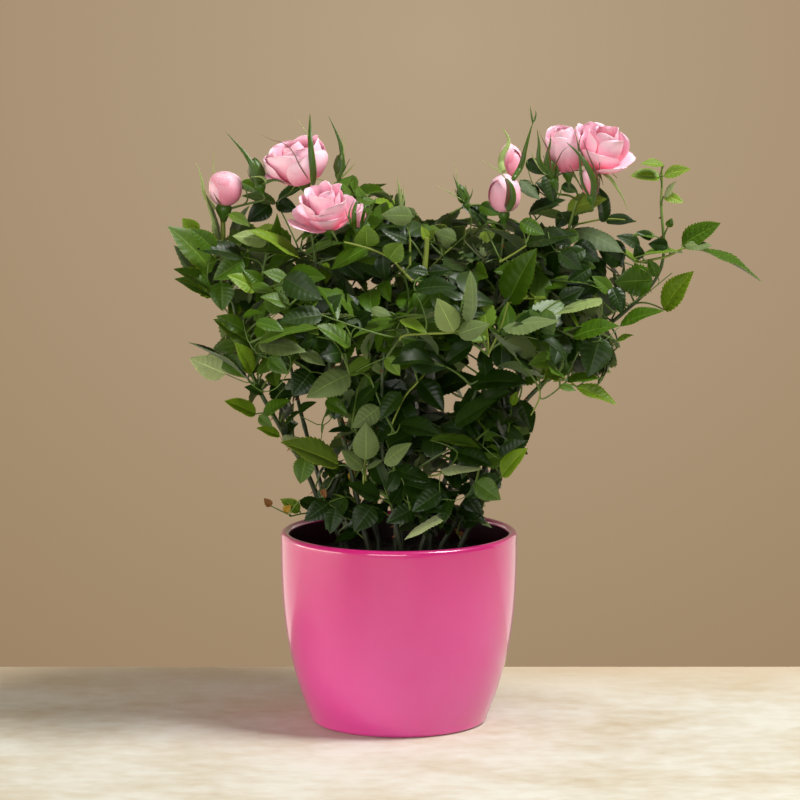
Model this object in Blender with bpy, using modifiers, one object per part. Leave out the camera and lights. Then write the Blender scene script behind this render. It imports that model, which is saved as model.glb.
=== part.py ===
"""A miniature rose bush in a glazed pot: pot, root ball, canes, boughs and masses of foliage.

Metres, +Z up. The origin is the centre of the pot's flat underside, and the bush's best side
faces -Y. Every solid keeps a small gap to the next one, so none of them overlap.
"""

import math
import random
from dataclasses import dataclass

import bmesh
import bpy
from mathutils import Vector

MM = 0.001

# --- driving dimensions -------------------------------------------------------------------

# pot
POT_HEIGHT = 110 * MM
RIM_RADIUS = 67.5 * MM
FOOT_RADIUS = 49.5 * MM
SIDE_FULLNESS = 2.8
WALL = 5 * MM
POT_FLOOR = 6 * MM
FOOT_ROUNDING = 3 * MM
INNER_CORNER = 8 * MM
SIDE_RINGS = 9
LIP_RINGS = 5
TURN_STEPS = 32

# root ball
SOIL_BELOW_RIM = 16 * MM
ROOT_BALL_CLEARANCE = 1 * MM
ROOT_BALL_RINGS = 5

# canes
CANE_FOOT_RADIUS = 2.0 * MM
CANE_TIP_SHARE = 0.5
CANE_STEP = 8 * MM
TRACE_STEP = 0.5 * MM
SHORTEST_BOUGH = 9 * MM
FOLIAGE_CLEARANCE = 1.2 * MM
FACE_GAP = 0.3 * MM

# foliage
MASS_GAP = 3 * MM
RIM_CLEARANCE = 4 * MM
MOUTH_DEPTH = 2 * MM
LOBE_DEPTH = 0.05
LOBES = 4
LOBE_TURNS = (2.5, 5.5)
FINE_SUBDIVISIONS = 3
PLAIN_SUBDIVISIONS = 2
SMALL_MASS = 24 * MM

# --- finishes: base colour, roughness, metallic -------------------------------------------

GLAZE = ((0.72, 0.11, 0.27), 0.18, 0.0)
PEAT = ((0.035, 0.022, 0.015), 0.95, 0.0)
CANE_GREEN = ((0.16, 0.24, 0.07), 0.6, 0.0)
LEAF_GREEN = ((0.05, 0.13, 0.03), 0.55, 0.0)
FLOWER_PINK = ((0.85, 0.36, 0.42), 0.6, 0.0)

SOIL_TOP = POT_HEIGHT - SOIL_BELOW_RIM


@dataclass(frozen=True)
class Mass:
    """One mass of foliage: an uneven ellipsoid round its centre, in millimetres."""

    name: str
    middle: tuple
    half_size: tuple
    finish: tuple = LEAF_GREEN
    in_mouth: bool = False

    @property
    def centre(self):
        """The centre in metres."""
        return Vector(self.middle) * MM

    @property
    def lowest(self):
        """How low the mass may reach: over the rim, or a little way into the pot's mouth."""
        return POT_HEIGHT - MOUTH_DEPTH if self.in_mouth else POT_HEIGHT + RIM_CLEARANCE

    @property
    def subdivisions(self):
        """How finely the ball under the mass is divided."""
        return FINE_SUBDIVISIONS if min(self.half_size) * MM > SMALL_MASS else PLAIN_SUBDIVISIONS

    def lobes(self):
        """The soft waves in the mass's surface, as (direction, turns, phase)."""
        rng = random.Random(self.name)
        found = []
        for _ in range(LOBES):
            direction = Vector([rng.gauss(0, 1) for _ in range(3)]).normalized()
            found.append((direction, rng.uniform(*LOBE_TURNS), rng.uniform(0, 2 * math.pi)))
        return found

    def free_reach(self, direction):
        """Distance from the centre to the surface along a unit direction, with no neighbours."""
        stretched = [part / (half * MM) for part, half in zip(direction, self.half_size)]
        ellipsoid = 1 / Vector(stretched).length
        waves = sum(
            math.cos(turns * direction.dot(axis) + phase) for axis, turns, phase in self.lobes()
        )
        return ellipsoid * (1 + LOBE_DEPTH * waves)


@dataclass(frozen=True)
class Cane:
    """One cane, from its foot on the soil through the points of its route, in millimetres."""

    name: str
    foot: tuple
    route: tuple


MASSES = (
    # the left side, from the lowest leaves to the flowers
    Mass("foliage_left_skirt", (-64, -4, 166), (33, 30, 26)),
    Mass("foliage_left_flank", (-79, -4, 216), (43, 36, 29)),
    Mass("foliage_left_shoulder", (-94, -8, 270), (41, 36, 28)),
    Mass("bud_left", (-99, -12, 304), (12, 12, 16), FLOWER_PINK),
    Mass("flowers_left", (-53, -14, 314), (37, 30, 31), FLOWER_PINK),
    # the middle, from the mouth of the pot to the notch between the two sides
    Mass("foliage_foot_left", (-32, -2, 124), (23, 26, 22), in_mouth=True),
    Mass("foliage_foot_right", (36, 6, 118), (22, 24, 18), in_mouth=True),
    Mass("foliage_foot_back", (2, 32, 122), (28, 18, 20), in_mouth=True),
    Mass("foliage_collar", (12, -28, 132), (38, 18, 17)),
    Mass("foliage_skirt_middle", (-12, -16, 174), (29, 30, 30)),
    Mass("foliage_core", (6, 8, 218), (36, 34, 38)),
    Mass("foliage_front", (20, -46, 236), (38, 30, 36)),
    Mass("foliage_front_left", (-46, -46, 238), (34, 28, 34)),
    Mass("foliage_top_middle", (-4, 0, 275), (35, 40, 33)),
    # the right side, from the lowest leaves to the flowers and the long spray
    Mass("foliage_right_skirt", (46, -6, 162), (31, 34, 38)),
    Mass("foliage_front_right", (74, -42, 226), (32, 28, 36)),
    Mass("foliage_right_flank", (118, -2, 219), (45, 34, 39)),
    Mass("foliage_right_shoulder", (72, -4, 266), (42, 38, 29)),
    Mass("bud_right", (62, -12, 306), (17, 16, 30), FLOWER_PINK),
    Mass("flowers_right", (103, -12, 319), (29, 26, 33), FLOWER_PINK),
    Mass("spray_far_right", (161, 0, 265), (50, 22, 24)),
    Mass("shoot_right", (148, 0, 304), (15, 13, 22)),
    # the side away from the view
    Mass("foliage_back_left", (-52, 50, 244), (46, 38, 40)),
    Mass("foliage_back_right", (60, 52, 250), (48, 38, 40)),
    Mass("foliage_back_top", (2, 46, 292), (38, 32, 28)),
    Mass("foliage_back", (4, 76, 208), (46, 30, 40)),
    Mass("foliage_back_skirt", (-4, 36, 162), (42, 30, 30)),
)

CANES = (
    Cane(
        "cane_left",
        (-30, 2),
        ((-44, 1, 124), (-54, -2, 147), (-68, -4, 171), (-85, -6, 206), (-97, -10, 262), (-99, -12, 300)),
    ),
    Cane("cane_left_outer", (-33, 12), ((-44, 18, 130), (-60, 24, 190), (-66, 30, 230))),
    Cane("cane_left_inner", (-17, -14), ((-28, -12, 150), (-38, -14, 200), (-50, -18, 290))),
    Cane("cane_front", (2, -25), ((-2, -26, 120), (-10, -24, 170), (-6, -14, 250))),
    Cane("cane_middle", (-2, 4), ((0, 6, 140), (5, 8, 200), (-2, 4, 262))),
    Cane("cane_right_inner", (12, -12), ((26, -10, 140), (50, -8, 215), (60, -10, 290))),
    Cane("cane_right", (24, 2), ((46, -2, 140), (76, -4, 215), (100, -10, 300))),
    Cane(
        "cane_right_outer",
        (34, -8),
        ((50, -8, 136), (66, -6, 178), (104, -4, 216), (146, -2, 256), (148, 0, 300)),
    ),
    Cane("cane_back_left", (-12, 24), ((-24, 34, 140), (-42, 44, 195), (-52, 50, 245))),
    Cane("cane_back_right", (18, 24), ((34, 36, 140), (52, 48, 195), (62, 52, 250))),
    Cane("cane_back", (2, 32), ((2, 46, 140), (4, 66, 185), (6, 60, 240))),
)


# --- shapes -------------------------------------------------------------------------------


def side_radius(height):
    """The pot's outer radius at a height: narrow at the foot, fuller and upright at the rim."""
    narrowing = (1 - height / POT_HEIGHT) ** SIDE_FULLNESS
    return FOOT_RADIUS + (RIM_RADIUS - FOOT_RADIUS) * (1 - narrowing)


def arc(centre, radius, start_deg, end_deg, count):
    """Points of an arc in the radius and height plane."""
    points = []
    for step in range(count):
        angle = math.radians(start_deg + (end_deg - start_deg) * step / (count - 1))
        points.append((centre[0] + radius * math.cos(angle), centre[1] + radius * math.sin(angle)))
    return points


def heights_between(low, high, count):
    """Evenly spaced heights, both ends included."""
    return [low + (high - low) * step / (count - 1) for step in range(count)]


def pot_profile():
    """The pot's section: along the inner floor, up inside, over the lip, down outside."""
    lip = WALL / 2
    lip_height = POT_HEIGHT - lip
    inner_foot = POT_FLOOR + INNER_CORNER
    corner_centre = (side_radius(inner_foot) - WALL - INNER_CORNER, inner_foot)
    foot_centre = (side_radius(FOOT_ROUNDING) - FOOT_ROUNDING, FOOT_ROUNDING)

    section = [(0, POT_FLOOR)]
    section += arc(corner_centre, INNER_CORNER, -90, 0, LIP_RINGS)
    inside = heights_between(inner_foot, lip_height, SIDE_RINGS)[1:-1]
    section += [(side_radius(height) - WALL, height) for height in inside]
    section += arc((side_radius(lip_height) - lip, lip_height), lip, 180, 0, LIP_RINGS + 2)
    outside = heights_between(lip_height, FOOT_ROUNDING, SIDE_RINGS)[1:-1]
    section += [(side_radius(height), height) for height in outside]
    section += arc(foot_centre, FOOT_ROUNDING, 0, -90, LIP_RINGS)
    section.append((0, 0))
    return section


def root_ball_profile():
    """The root ball's section: out along the soil, down beside the pot's wall, in at its floor."""
    inset = WALL + ROOT_BALL_CLEARANCE
    inner_foot = POT_FLOOR + INNER_CORNER
    bottom = POT_FLOOR + ROOT_BALL_CLEARANCE
    corner_centre = (side_radius(inner_foot) - inset - INNER_CORNER, bottom + INNER_CORNER)

    section = [(0, SOIL_TOP)]
    levels = heights_between(SOIL_TOP, corner_centre[1], ROOT_BALL_RINGS)[:-1]
    section += [(side_radius(height) - inset, height) for height in levels]
    section += arc(corner_centre, INNER_CORNER, 0, -90, LIP_RINGS)
    section.append((0, bottom))
    return section


def smooth_route(points, step):
    """Points about a step apart on the Catmull-Rom curve through the given points."""
    ends = [2 * points[0] - points[1], *points, 2 * points[-1] - points[-2]]
    route = []
    for before, start, end, after in zip(ends, ends[1:], ends[2:], ends[3:]):
        count = max(2, round((end - start).length / step))
        for index in range(count):
            t = index / count
            route.append(
                0.5
                * (
                    2 * start
                    + (end - before) * t
                    + (2 * before - 5 * start + 4 * end - after) * t**2
                    + (3 * start - before - 3 * end + after) * t**3
                )
            )
    return [*route, points[-1]]


# --- foliage ------------------------------------------------------------------------------


def walls_round(mass):
    """Flat walls, as (direction, distance), that part a mass from its neighbours and the rim."""
    walls = [(Vector((0, 0, -1)), mass.centre.z - mass.lowest)]
    for other in MASSES:
        if other.name == mass.name:
            continue
        offset = other.centre - mass.centre
        direction = offset.normalized()
        own = mass.free_reach(direction)
        theirs = other.free_reach(-direction)
        walls.append((direction, offset.length * own / (own + theirs) - MASS_GAP / 2))
    return walls


WALLS = {mass.name: walls_round(mass) for mass in MASSES}


def reach(mass, direction):
    """Distance from a mass's centre to its surface along a unit direction."""
    distance = mass.free_reach(direction)
    for wall, limit in WALLS[mass.name]:
        facing = wall.dot(direction)
        if facing * distance > limit:
            distance = limit / facing
    return distance


def in_foliage(point, clearance):
    """Whether a point is inside a mass, or closer to one than the clearance."""
    for mass in MASSES:
        offset = point - mass.centre
        if offset.length < reach(mass, offset.normalized()) + clearance:
            return True
    return False


# --- pieces -------------------------------------------------------------------------------


def finish_material(name, finish):
    """A Principled material for one piece."""
    colour, roughness, metallic = finish
    material = bpy.data.materials.new(name)
    material.use_nodes = True
    shader = material.node_tree.nodes["Principled BSDF"]
    shader.inputs["Base Color"].default_value = (*colour, 1)
    shader.inputs["Roughness"].default_value = roughness
    shader.inputs["Metallic"].default_value = metallic
    return material


def add_piece(collection, name, data, finish):
    """Puts a mesh or a curve into the collection as a named piece with its finish."""
    piece = bpy.data.objects.new(name, data)
    collection.objects.link(piece)
    data.materials.append(finish_material(name, finish))
    return piece


def add_turned(collection, name, profile, finish):
    """A solid turned round +Z from its section in the XZ plane."""
    mesh = bpy.data.meshes.new(name)
    edges = [(index, index + 1) for index in range(len(profile) - 1)]
    mesh.from_pydata([(radius, 0, height) for radius, height in profile], edges, [])
    piece = add_piece(collection, name, mesh, finish)
    screw = piece.modifiers.new("turn", "SCREW")
    screw.axis = "Z"
    screw.steps = TURN_STEPS
    screw.render_steps = TURN_STEPS
    screw.use_merge_vertices = True
    screw.merge_threshold = 0.00005
    screw.use_smooth_shade = True


def add_mass(collection, mass):
    """One mass of foliage: a ball whose points are moved in or out to the mass's surface."""
    mesh = bpy.data.meshes.new(mass.name)
    ball = bmesh.new()
    bmesh.ops.create_icosphere(ball, subdivisions=mass.subdivisions, radius=1)
    for vertex in ball.verts:
        direction = vertex.co.normalized()
        vertex.co = direction * reach(mass, direction)
    ball.to_mesh(mesh)
    ball.free()
    add_piece(collection, mass.name, mesh, mass.finish).location = mass.centre


def add_limb(collection, name, points, radii):
    """One tapering limb along its points, flat at both ends."""
    curve = bpy.data.curves.new(name, "CURVE")
    curve.dimensions = "3D"
    curve.bevel_depth = 1
    curve.bevel_resolution = 1
    curve.use_fill_caps = True
    spline = curve.splines.new("POLY")
    spline.points.add(len(points) - 1)
    for target, point, radius in zip(spline.points, points, radii):
        target.co = (*point, 1)
        target.radius = radius
    add_piece(collection, name, curve, CANE_GREEN)


def open_stretches(route):
    """The stretches of a route that run outside the foliage, as (first, last) indices."""
    stretches = []
    start = None
    for index, point in enumerate(route):
        if in_foliage(point, CANE_FOOT_RADIUS + FOLIAGE_CLEARANCE):
            if start is not None:
                stretches.append((start, index - 1))
            start = None
        elif start is None:
            start = index
    if start is not None:
        stretches.append((start, len(route) - 1))
    return [pair for pair in stretches if (pair[1] - pair[0]) * TRACE_STEP > SHORTEST_BOUGH]


def add_cane(collection, cane):
    """A cane's limbs: the cane itself, and a bough for each later stretch between masses."""
    foot = Vector((cane.foot[0] * MM, cane.foot[1] * MM, SOIL_TOP + FACE_GAP))
    stride = round(CANE_STEP / TRACE_STEP)
    upright = [foot + Vector((0, 0, TRACE_STEP * index)) for index in range(stride + 1)]
    onward = [upright[-1], *(Vector(point) * MM for point in cane.route)]
    route = upright[:-1] + smooth_route(onward, TRACE_STEP)
    for order, (first, last) in enumerate(open_stretches(route)):
        picked = [*range(first, last, stride), last]
        if len(picked) > 3 and picked[-1] - picked[-2] < stride / 2:
            del picked[-2]
        tapers = [1 - (1 - CANE_TIP_SHARE) * index / (len(route) - 1) for index in picked]
        name = cane.name if order == 0 else f"{cane.name.replace('cane', 'bough')}_{order}"
        add_limb(
            collection,
            name,
            [route[index] for index in picked],
            [CANE_FOOT_RADIUS * taper for taper in tapers],
        )


def main():
    """Clears the scene and builds the potted rose bush."""
    for existing in list(bpy.data.objects):
        bpy.data.objects.remove(existing, do_unlink=True)
    collection = bpy.data.collections.new("potted_rose_bush")
    bpy.context.scene.collection.children.link(collection)

    add_turned(collection, "pot", pot_profile(), GLAZE)
    add_turned(collection, "root_ball", root_ball_profile(), PEAT)
    for cane in CANES:
        add_cane(collection, cane)
    for mass in MASSES:
        add_mass(collection, mass)


main()
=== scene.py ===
"""Looks of a miniature rose bush in a glazed pot.

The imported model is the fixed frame: its pot, root ball, canes and masses of foliage say where
everything stands. This script puts the finished pieces there: a turned and glazed pot, crumbly
soil, thorny canes, twigs grown by a seeded branching rule, compound leaves with folded and
toothed leaflets, and flowers and buds made petal by petal.

Lengths are metres, +Z is up, and the bush's best side faces -Y.
"""

from __future__ import annotations

import logging
import math
from collections.abc import Sequence
from dataclasses import dataclass
from enum import Enum

import bpy
import numpy as np
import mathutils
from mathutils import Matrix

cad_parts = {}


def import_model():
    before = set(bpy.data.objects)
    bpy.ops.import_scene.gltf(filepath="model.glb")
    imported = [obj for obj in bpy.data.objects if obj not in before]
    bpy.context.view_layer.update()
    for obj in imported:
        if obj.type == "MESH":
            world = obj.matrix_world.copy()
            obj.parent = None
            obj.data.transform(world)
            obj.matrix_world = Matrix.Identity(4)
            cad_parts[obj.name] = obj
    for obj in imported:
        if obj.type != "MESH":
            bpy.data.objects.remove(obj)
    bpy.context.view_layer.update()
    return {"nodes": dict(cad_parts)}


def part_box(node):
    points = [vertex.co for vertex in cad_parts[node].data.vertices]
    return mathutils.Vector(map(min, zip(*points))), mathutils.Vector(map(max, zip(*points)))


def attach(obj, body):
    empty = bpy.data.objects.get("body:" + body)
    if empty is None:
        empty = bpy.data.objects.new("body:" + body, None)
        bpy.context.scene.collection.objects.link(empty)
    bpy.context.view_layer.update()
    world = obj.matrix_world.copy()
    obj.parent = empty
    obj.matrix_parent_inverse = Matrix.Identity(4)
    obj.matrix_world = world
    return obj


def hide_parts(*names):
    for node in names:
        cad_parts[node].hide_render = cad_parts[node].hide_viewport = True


LOG = logging.getLogger("rose_bush")
Array = np.ndarray
Vector = tuple[float, float, float]

MM = 0.001
TINY = 1e-9
BODY = "root"
UP = np.array([0.0, 0.0, 1.0])
TO_VIEW = np.array([0.0, -1.0, 0.0])

TUBE_START = 0.3
TUBE_END = 0.6

HASH_AXES = np.array([374761393, 668265263, 2147483647])
HASH_SEED = 144665
HASH_MIX = 1274126177


# --- vectors --------------------------------------------------------------------------------


def unit(vectors: Array) -> Array:
    """Vectors scaled to length one, along the last axis."""
    return vectors / np.maximum(np.linalg.norm(vectors, axis=-1, keepdims=True), TINY)


def dot(first: Array, second: Array) -> Array:
    """Dot products along the last axis, kept as an axis of one."""
    return np.sum(first * second, axis=-1, keepdims=True)


def square_to(vectors: Array, along: Array) -> Array:
    """The part of each vector square to a unit direction, scaled to length one."""
    return unit(vectors - dot(vectors, along) * along)


def turned(vectors: Array, axis: Array, angle: Array | float) -> Array:
    """Vectors turned about unit axes: the part along stays, the rest goes round (Rodrigues)."""
    angle = np.asarray(angle)[..., None] if np.ndim(angle) else angle
    cosine, sine = np.cos(angle), np.sin(angle)
    along = axis * dot(axis, vectors)
    return vectors * cosine + np.cross(axis, vectors) * sine + along * (1 - cosine)


def smooth_step(low: float, high: float, values: Array) -> Array:
    """0 below low, 1 above high, and a cubic ease between."""
    t = np.clip((values - low) / (high - low), 0, 1)
    return t * t * (3 - 2 * t)


def spline_through(points: Array, step: float) -> Array:
    """Points about a step apart on the Catmull-Rom curve through the given points.

    Args:
        points: The points to pass through, one row each.
        step: The wanted distance between neighbouring points of the result.

    Returns:
        One row for each point of the curve, both ends included.
    """
    ends = np.vstack([2 * points[0] - points[1], points, 2 * points[-1] - points[-2]])
    pieces = []
    for before, start, end, after in zip(ends, ends[1:], ends[2:], ends[3:]):
        count = max(2, round(float(np.linalg.norm(end - start)) / step))
        t = (np.arange(count) / count)[:, None]
        pieces.append(
            0.5
            * (
                2 * start
                + (end - before) * t
                + (2 * before - 5 * start + 4 * end - after) * t**2
                + (3 * start - before - 3 * end + after) * t**3
            )
        )
    return np.vstack([*pieces, points[-1:]])


def resampled(path: Array, shares: Array) -> Array:
    """Points at shares of a path, counted by its own points."""
    own = np.linspace(0, 1, len(path))
    return np.stack([np.interp(shares, own, path[:, axis]) for axis in range(3)], -1)


def length_of(path: Array) -> float:
    """The length of a path."""
    return float(np.linalg.norm(np.diff(path, axis=0), axis=1).sum())


def bezier(start: Array, pull: Array, end: Array, count: int) -> Array:
    """A quadratic Bezier curve: the weights of its three points are (1-t)^2, 2t(1-t) and t^2."""
    t = np.linspace(0, 1, count)[:, None]
    return start * (1 - t) ** 2 + pull * 2 * t * (1 - t) + end * t**2


def value_noise(points: Array, scale: float, seed: int) -> Array:
    """Soft noise between -1 and 1: random values at the corners of cells, eased between them.

    Args:
        points: Places, one row each.
        scale: Size of a cell in metres.
        seed: Which pattern of random values to use.

    Returns:
        One value for each place.
    """
    cells = points / scale
    corner = np.floor(cells).astype(np.int64)
    inside = cells - corner
    ease = inside * inside * (3 - 2 * inside)
    total = np.zeros(len(points))
    for shift in np.ndindex(2, 2, 2):
        place = corner + np.array(shift)
        mixed = (place * HASH_AXES).sum(axis=1) + seed * HASH_SEED
        mixed = (mixed ^ (mixed >> 13)) * HASH_MIX
        value = ((mixed ^ (mixed >> 16)) & 0xFFFF) / 32767.5 - 1
        weight = np.prod(np.where(np.array(shift) == 1, ease, 1 - ease), axis=1)
        total += value * weight
    return total


# --- meshes ---------------------------------------------------------------------------------


@dataclass
class Facets:
    """Points and faces of part of a piece, with the number of each face's finish."""

    points: Array
    quads: Array
    quad_finish: Array
    triangles: Array
    triangle_finish: Array
    shade: Array | None = None


def put(name: str, data: bpy.types.ID) -> bpy.types.Object:
    """Puts a new object with its data in the scene, at the origin."""
    made = bpy.data.objects.new(name, data)
    bpy.context.scene.collection.objects.link(made)
    return made


@dataclass
class Piece:
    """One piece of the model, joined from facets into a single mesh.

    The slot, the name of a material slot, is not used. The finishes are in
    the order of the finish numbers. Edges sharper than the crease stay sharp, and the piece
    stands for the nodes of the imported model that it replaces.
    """

    name: str
    slot: str
    finishes: Sequence[bpy.types.Material]
    parts: Sequence[Facets]
    crease_deg: float = 50.0
    replaces: Sequence[str] = ()

    def make(self) -> None:
        """Joins the facets into a mesh and puts it on the plant."""
        parts = self.parts
        starts = np.cumsum([0] + [len(part.points) for part in parts[:-1]])
        quads = np.concatenate([part.quads + start for part, start in zip(parts, starts)])
        triangles = np.concatenate([part.triangles + start for part, start in zip(parts, starts)])
        finish = [part.quad_finish for part in parts] + [part.triangle_finish for part in parts]
        sizes = np.repeat([4, 3], [len(quads), len(triangles)])

        mesh = bpy.data.meshes.new(self.name)
        points = np.concatenate([part.points for part in parts])
        mesh.vertices.add(len(points))
        mesh.vertices.foreach_set("co", points.astype(np.float32).ravel())
        corners = np.concatenate([quads.ravel(), triangles.ravel()]).astype(np.int32)
        mesh.loops.add(len(corners))
        mesh.loops.foreach_set("vertex_index", corners)
        mesh.polygons.add(len(sizes))
        mesh.polygons.foreach_set("loop_start", (np.cumsum(sizes) - sizes).astype(np.int32))
        for material in self.finishes:
            mesh.materials.append(material)
        mesh.polygons.foreach_set("material_index", np.concatenate(finish).astype(np.int32))
        if parts[0].shade is not None:
            shade = mesh.attributes.new("shade", "FLOAT", "POINT")
            values = np.concatenate([part.shade for part in parts])
            shade.data.foreach_set("value", values.astype(np.float32))
        mesh.update(calc_edges=True)
        mesh.shade_smooth()
        mesh.set_sharp_from_angle(angle=math.radians(self.crease_deg))

        made = put(self.name, mesh)
        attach(made, BODY)
        if self.replaces:
            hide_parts(*self.replaces)
        LOG.info("%s: %d triangles", self.name, 2 * len(quads) + len(triangles))


class BladeGrid:
    """The faces of a thin closed blade: an upper and an under side that share their margin.

    Each side is a grid of rows along the blade and stations across it, and both sides come to
    a point at the foot and at the tip.
    """

    def __init__(self, rows: int, stations: Sequence[float], ribbed: bool = False) -> None:
        """Works out the faces of one blade.

        Args:
            rows: How many rows lie between foot and tip.
            stations: Places across the blade from -1 to 1.
            ribbed: Whether the middle column of faces is the blade's rib. The under side of a
                ribbed blade has only one station between its margins.
        """
        self.stations = np.array(stations, dtype=float)
        self.ribbed = ribbed
        columns = len(stations)
        inner = 1 if ribbed else columns - 2
        self.along = (np.arange(rows) + 1) / (rows + 1)

        upper = np.arange(rows * columns).reshape(rows, columns)
        within = rows * columns + np.arange(rows * inner).reshape(rows, inner)
        under = np.concatenate([upper[:, :1], within, upper[:, -1:]], axis=1)
        foot = rows * (columns + inner)
        self.count = foot + 2

        top = np.stack([upper[:-1, :-1], upper[1:, :-1], upper[1:, 1:], upper[:-1, 1:]], -1)
        low = np.stack([under[:-1, :-1], under[:-1, 1:], under[1:, 1:], under[1:, :-1]], -1)
        side = np.zeros(top.shape[:2], int)
        if ribbed:
            side[:, (columns - 2) // 2] = 2
        self.quads = np.concatenate([top.reshape(-1, 4), low.reshape(-1, 4)])
        self.quad_side = np.concatenate([side.ravel(), np.ones(low.shape[0] * low.shape[1], int)])
        fans, sides = [], []
        for grid, order, number in ((upper, 1, 0), (under, -1, 1)):
            for row, point, turn in ((0, foot, order), (-1, foot + 1, -order)):
                pair = (grid[row, :-1], grid[row, 1:])[::turn]
                fans.append(np.stack([np.full(len(pair[0]), point), *pair], -1))
                sides.append(np.full(len(pair[0]), number))
        self.triangles = np.concatenate(fans)
        self.triangle_side = np.concatenate(sides)

    def facets(self, upper: Array, foot: Array, tip: Array, thickness: float, finish: Array,
               shade: Array | None = None) -> Facets:
        """Closes many blades at once, each from the grid of its upper side.

        The under side is the upper one moved back along its normals by the thickness, which
        fades to nothing at the margin.

        Args:
            upper: Points of the upper sides: blade, row, station, xyz.
            foot: The foot of each blade.
            tip: The tip of each blade.
            thickness: Thickness in the middle of a blade.
            finish: Numbers of each blade's finishes: upper side, under side and rib.
            shade: A value for each blade, row and station, or None.

        Returns:
            The facets of all the blades.
        """
        blades = len(upper)
        normals = unit(np.cross(np.gradient(upper, axis=1), np.gradient(upper, axis=2)))
        under = upper - normals * thickness * (1 - self.stations**4)[None, None, :, None]
        if self.ribbed:
            middle = slice((len(self.stations) - 1) // 2, len(self.stations) // 2 + 1)
            within = under[:, :, middle].mean(axis=2, keepdims=True)
        else:
            within = under[:, :, 1:-1]
        sides = [part.reshape(blades, -1, 3) for part in (upper, within)]
        points = np.concatenate([*sides, foot[:, None], tip[:, None]], axis=1)
        shift = (np.arange(blades) * self.count)[:, None, None]
        values = None
        if shade is not None:
            sides = [part.reshape(blades, -1) for part in (shade, shade[:, :, 1:-1])]
            ends = [shade[:, :1].mean(axis=2), shade[:, -1:].mean(axis=2)]
            values = np.concatenate([*sides, *ends], axis=1).ravel()
        return Facets(
            points.reshape(-1, 3),
            (self.quads[None] + shift).reshape(-1, 4),
            finish[:, self.quad_side].ravel(),
            (self.triangles[None] + shift).reshape(-1, 3),
            finish[:, self.triangle_side].ravel(),
            values,
        )


def ring_faces(rings: int, sides: int) -> tuple[Array, Array]:
    """Faces round a stack of rings: the quads between rings, and the fans to the two poles.

    The poles are the two points after those of the rings.
    """
    grid = np.arange(rings * sides).reshape(rings, sides)
    ahead = np.roll(grid, -1, axis=1)
    quads = np.stack([grid[:-1], ahead[:-1], ahead[1:], grid[1:]], -1).reshape(-1, 4)
    pole = np.full(sides, rings * sides)
    fans = [np.stack([pole, ahead[0], grid[0]], -1), np.stack([pole + 1, grid[-1], ahead[-1]], -1)]
    return quads, np.concatenate(fans)


def tubes(paths: Array, radii: Array, sides: int, finish: int = 0) -> Facets:
    """Closed round tubes along many paths of the same number of points.

    A ring at each point is the side and up directions, square to the path, times the cosine
    and sine of the angle round it. Both ends close on a point.

    Args:
        paths: Points of the centre lines: tube, point, xyz.
        radii: The radius at each of them.
        sides: Points round a ring.
        finish: The finish number of every face.

    Returns:
        The facets of all the tubes.
    """
    count, length = paths.shape[:2]
    forward = unit(np.gradient(paths, axis=1))
    overall = unit(paths[:, -1] - paths[:, 0])
    least = np.eye(3)[np.argmin(np.abs(overall), axis=1)][:, None, :]
    side = unit(np.cross(least, forward))
    up = np.cross(forward, side)
    angle = np.arange(sides) * 2 * math.pi / sides
    ring = side[:, :, None] * np.cos(angle)[:, None] + up[:, :, None] * np.sin(angle)[:, None]
    rings = paths[:, :, None] + ring * radii[:, :, None, None]
    start = paths[:, :1] - forward[:, :1] * radii[:, :1, None] * TUBE_START
    end = paths[:, -1:] + forward[:, -1:] * radii[:, -1:, None] * TUBE_END
    points = np.concatenate([rings.reshape(count, -1, 3), start, end], axis=1)
    quads, caps = ring_faces(length, sides)
    shift = (np.arange(count) * (length * sides + 2))[:, None, None]
    return Facets(
        points.reshape(-1, 3),
        (quads[None] + shift).reshape(-1, 4),
        np.full(count * len(quads), finish),
        (caps[None] + shift).reshape(-1, 3),
        np.full(count * len(caps), finish),
    )


def turned_solid(radius: Array, height: Array, steps: int, finish: Array | None = None) -> Facets:
    """A closed solid turned round the Z axis from a section whose ends lie on the axis.

    Args:
        radius: Distance from the axis of each inner point of the section.
        height: Its height; the first and the last entries are the two poles' heights.
        steps: Points round a ring.
        finish: The finish number of each band of faces, or None for the first finish.

    Returns:
        The facets, facing outwards where the section runs down its outer side.
    """
    angle = np.arange(steps) * 2 * math.pi / steps
    ring = np.stack([np.cos(angle), np.sin(angle), np.zeros(steps)], -1)
    points = ring[None] * radius[:, None, None] + height[1:-1, None, None] * UP
    poles = height[[0, -1], None] * UP
    quads, caps = ring_faces(len(radius), steps)
    bands = np.zeros(len(radius) - 1, int) if finish is None else finish
    return Facets(
        np.concatenate([points.reshape(-1, 3), poles]),
        quads[:, [0, 3, 2, 1]],
        np.repeat(bands, steps),
        caps[:, [0, 2, 1]],
        np.repeat(bands[[0, -1]], steps),
    )


# --- shader graphs --------------------------------------------------------------------------


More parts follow.
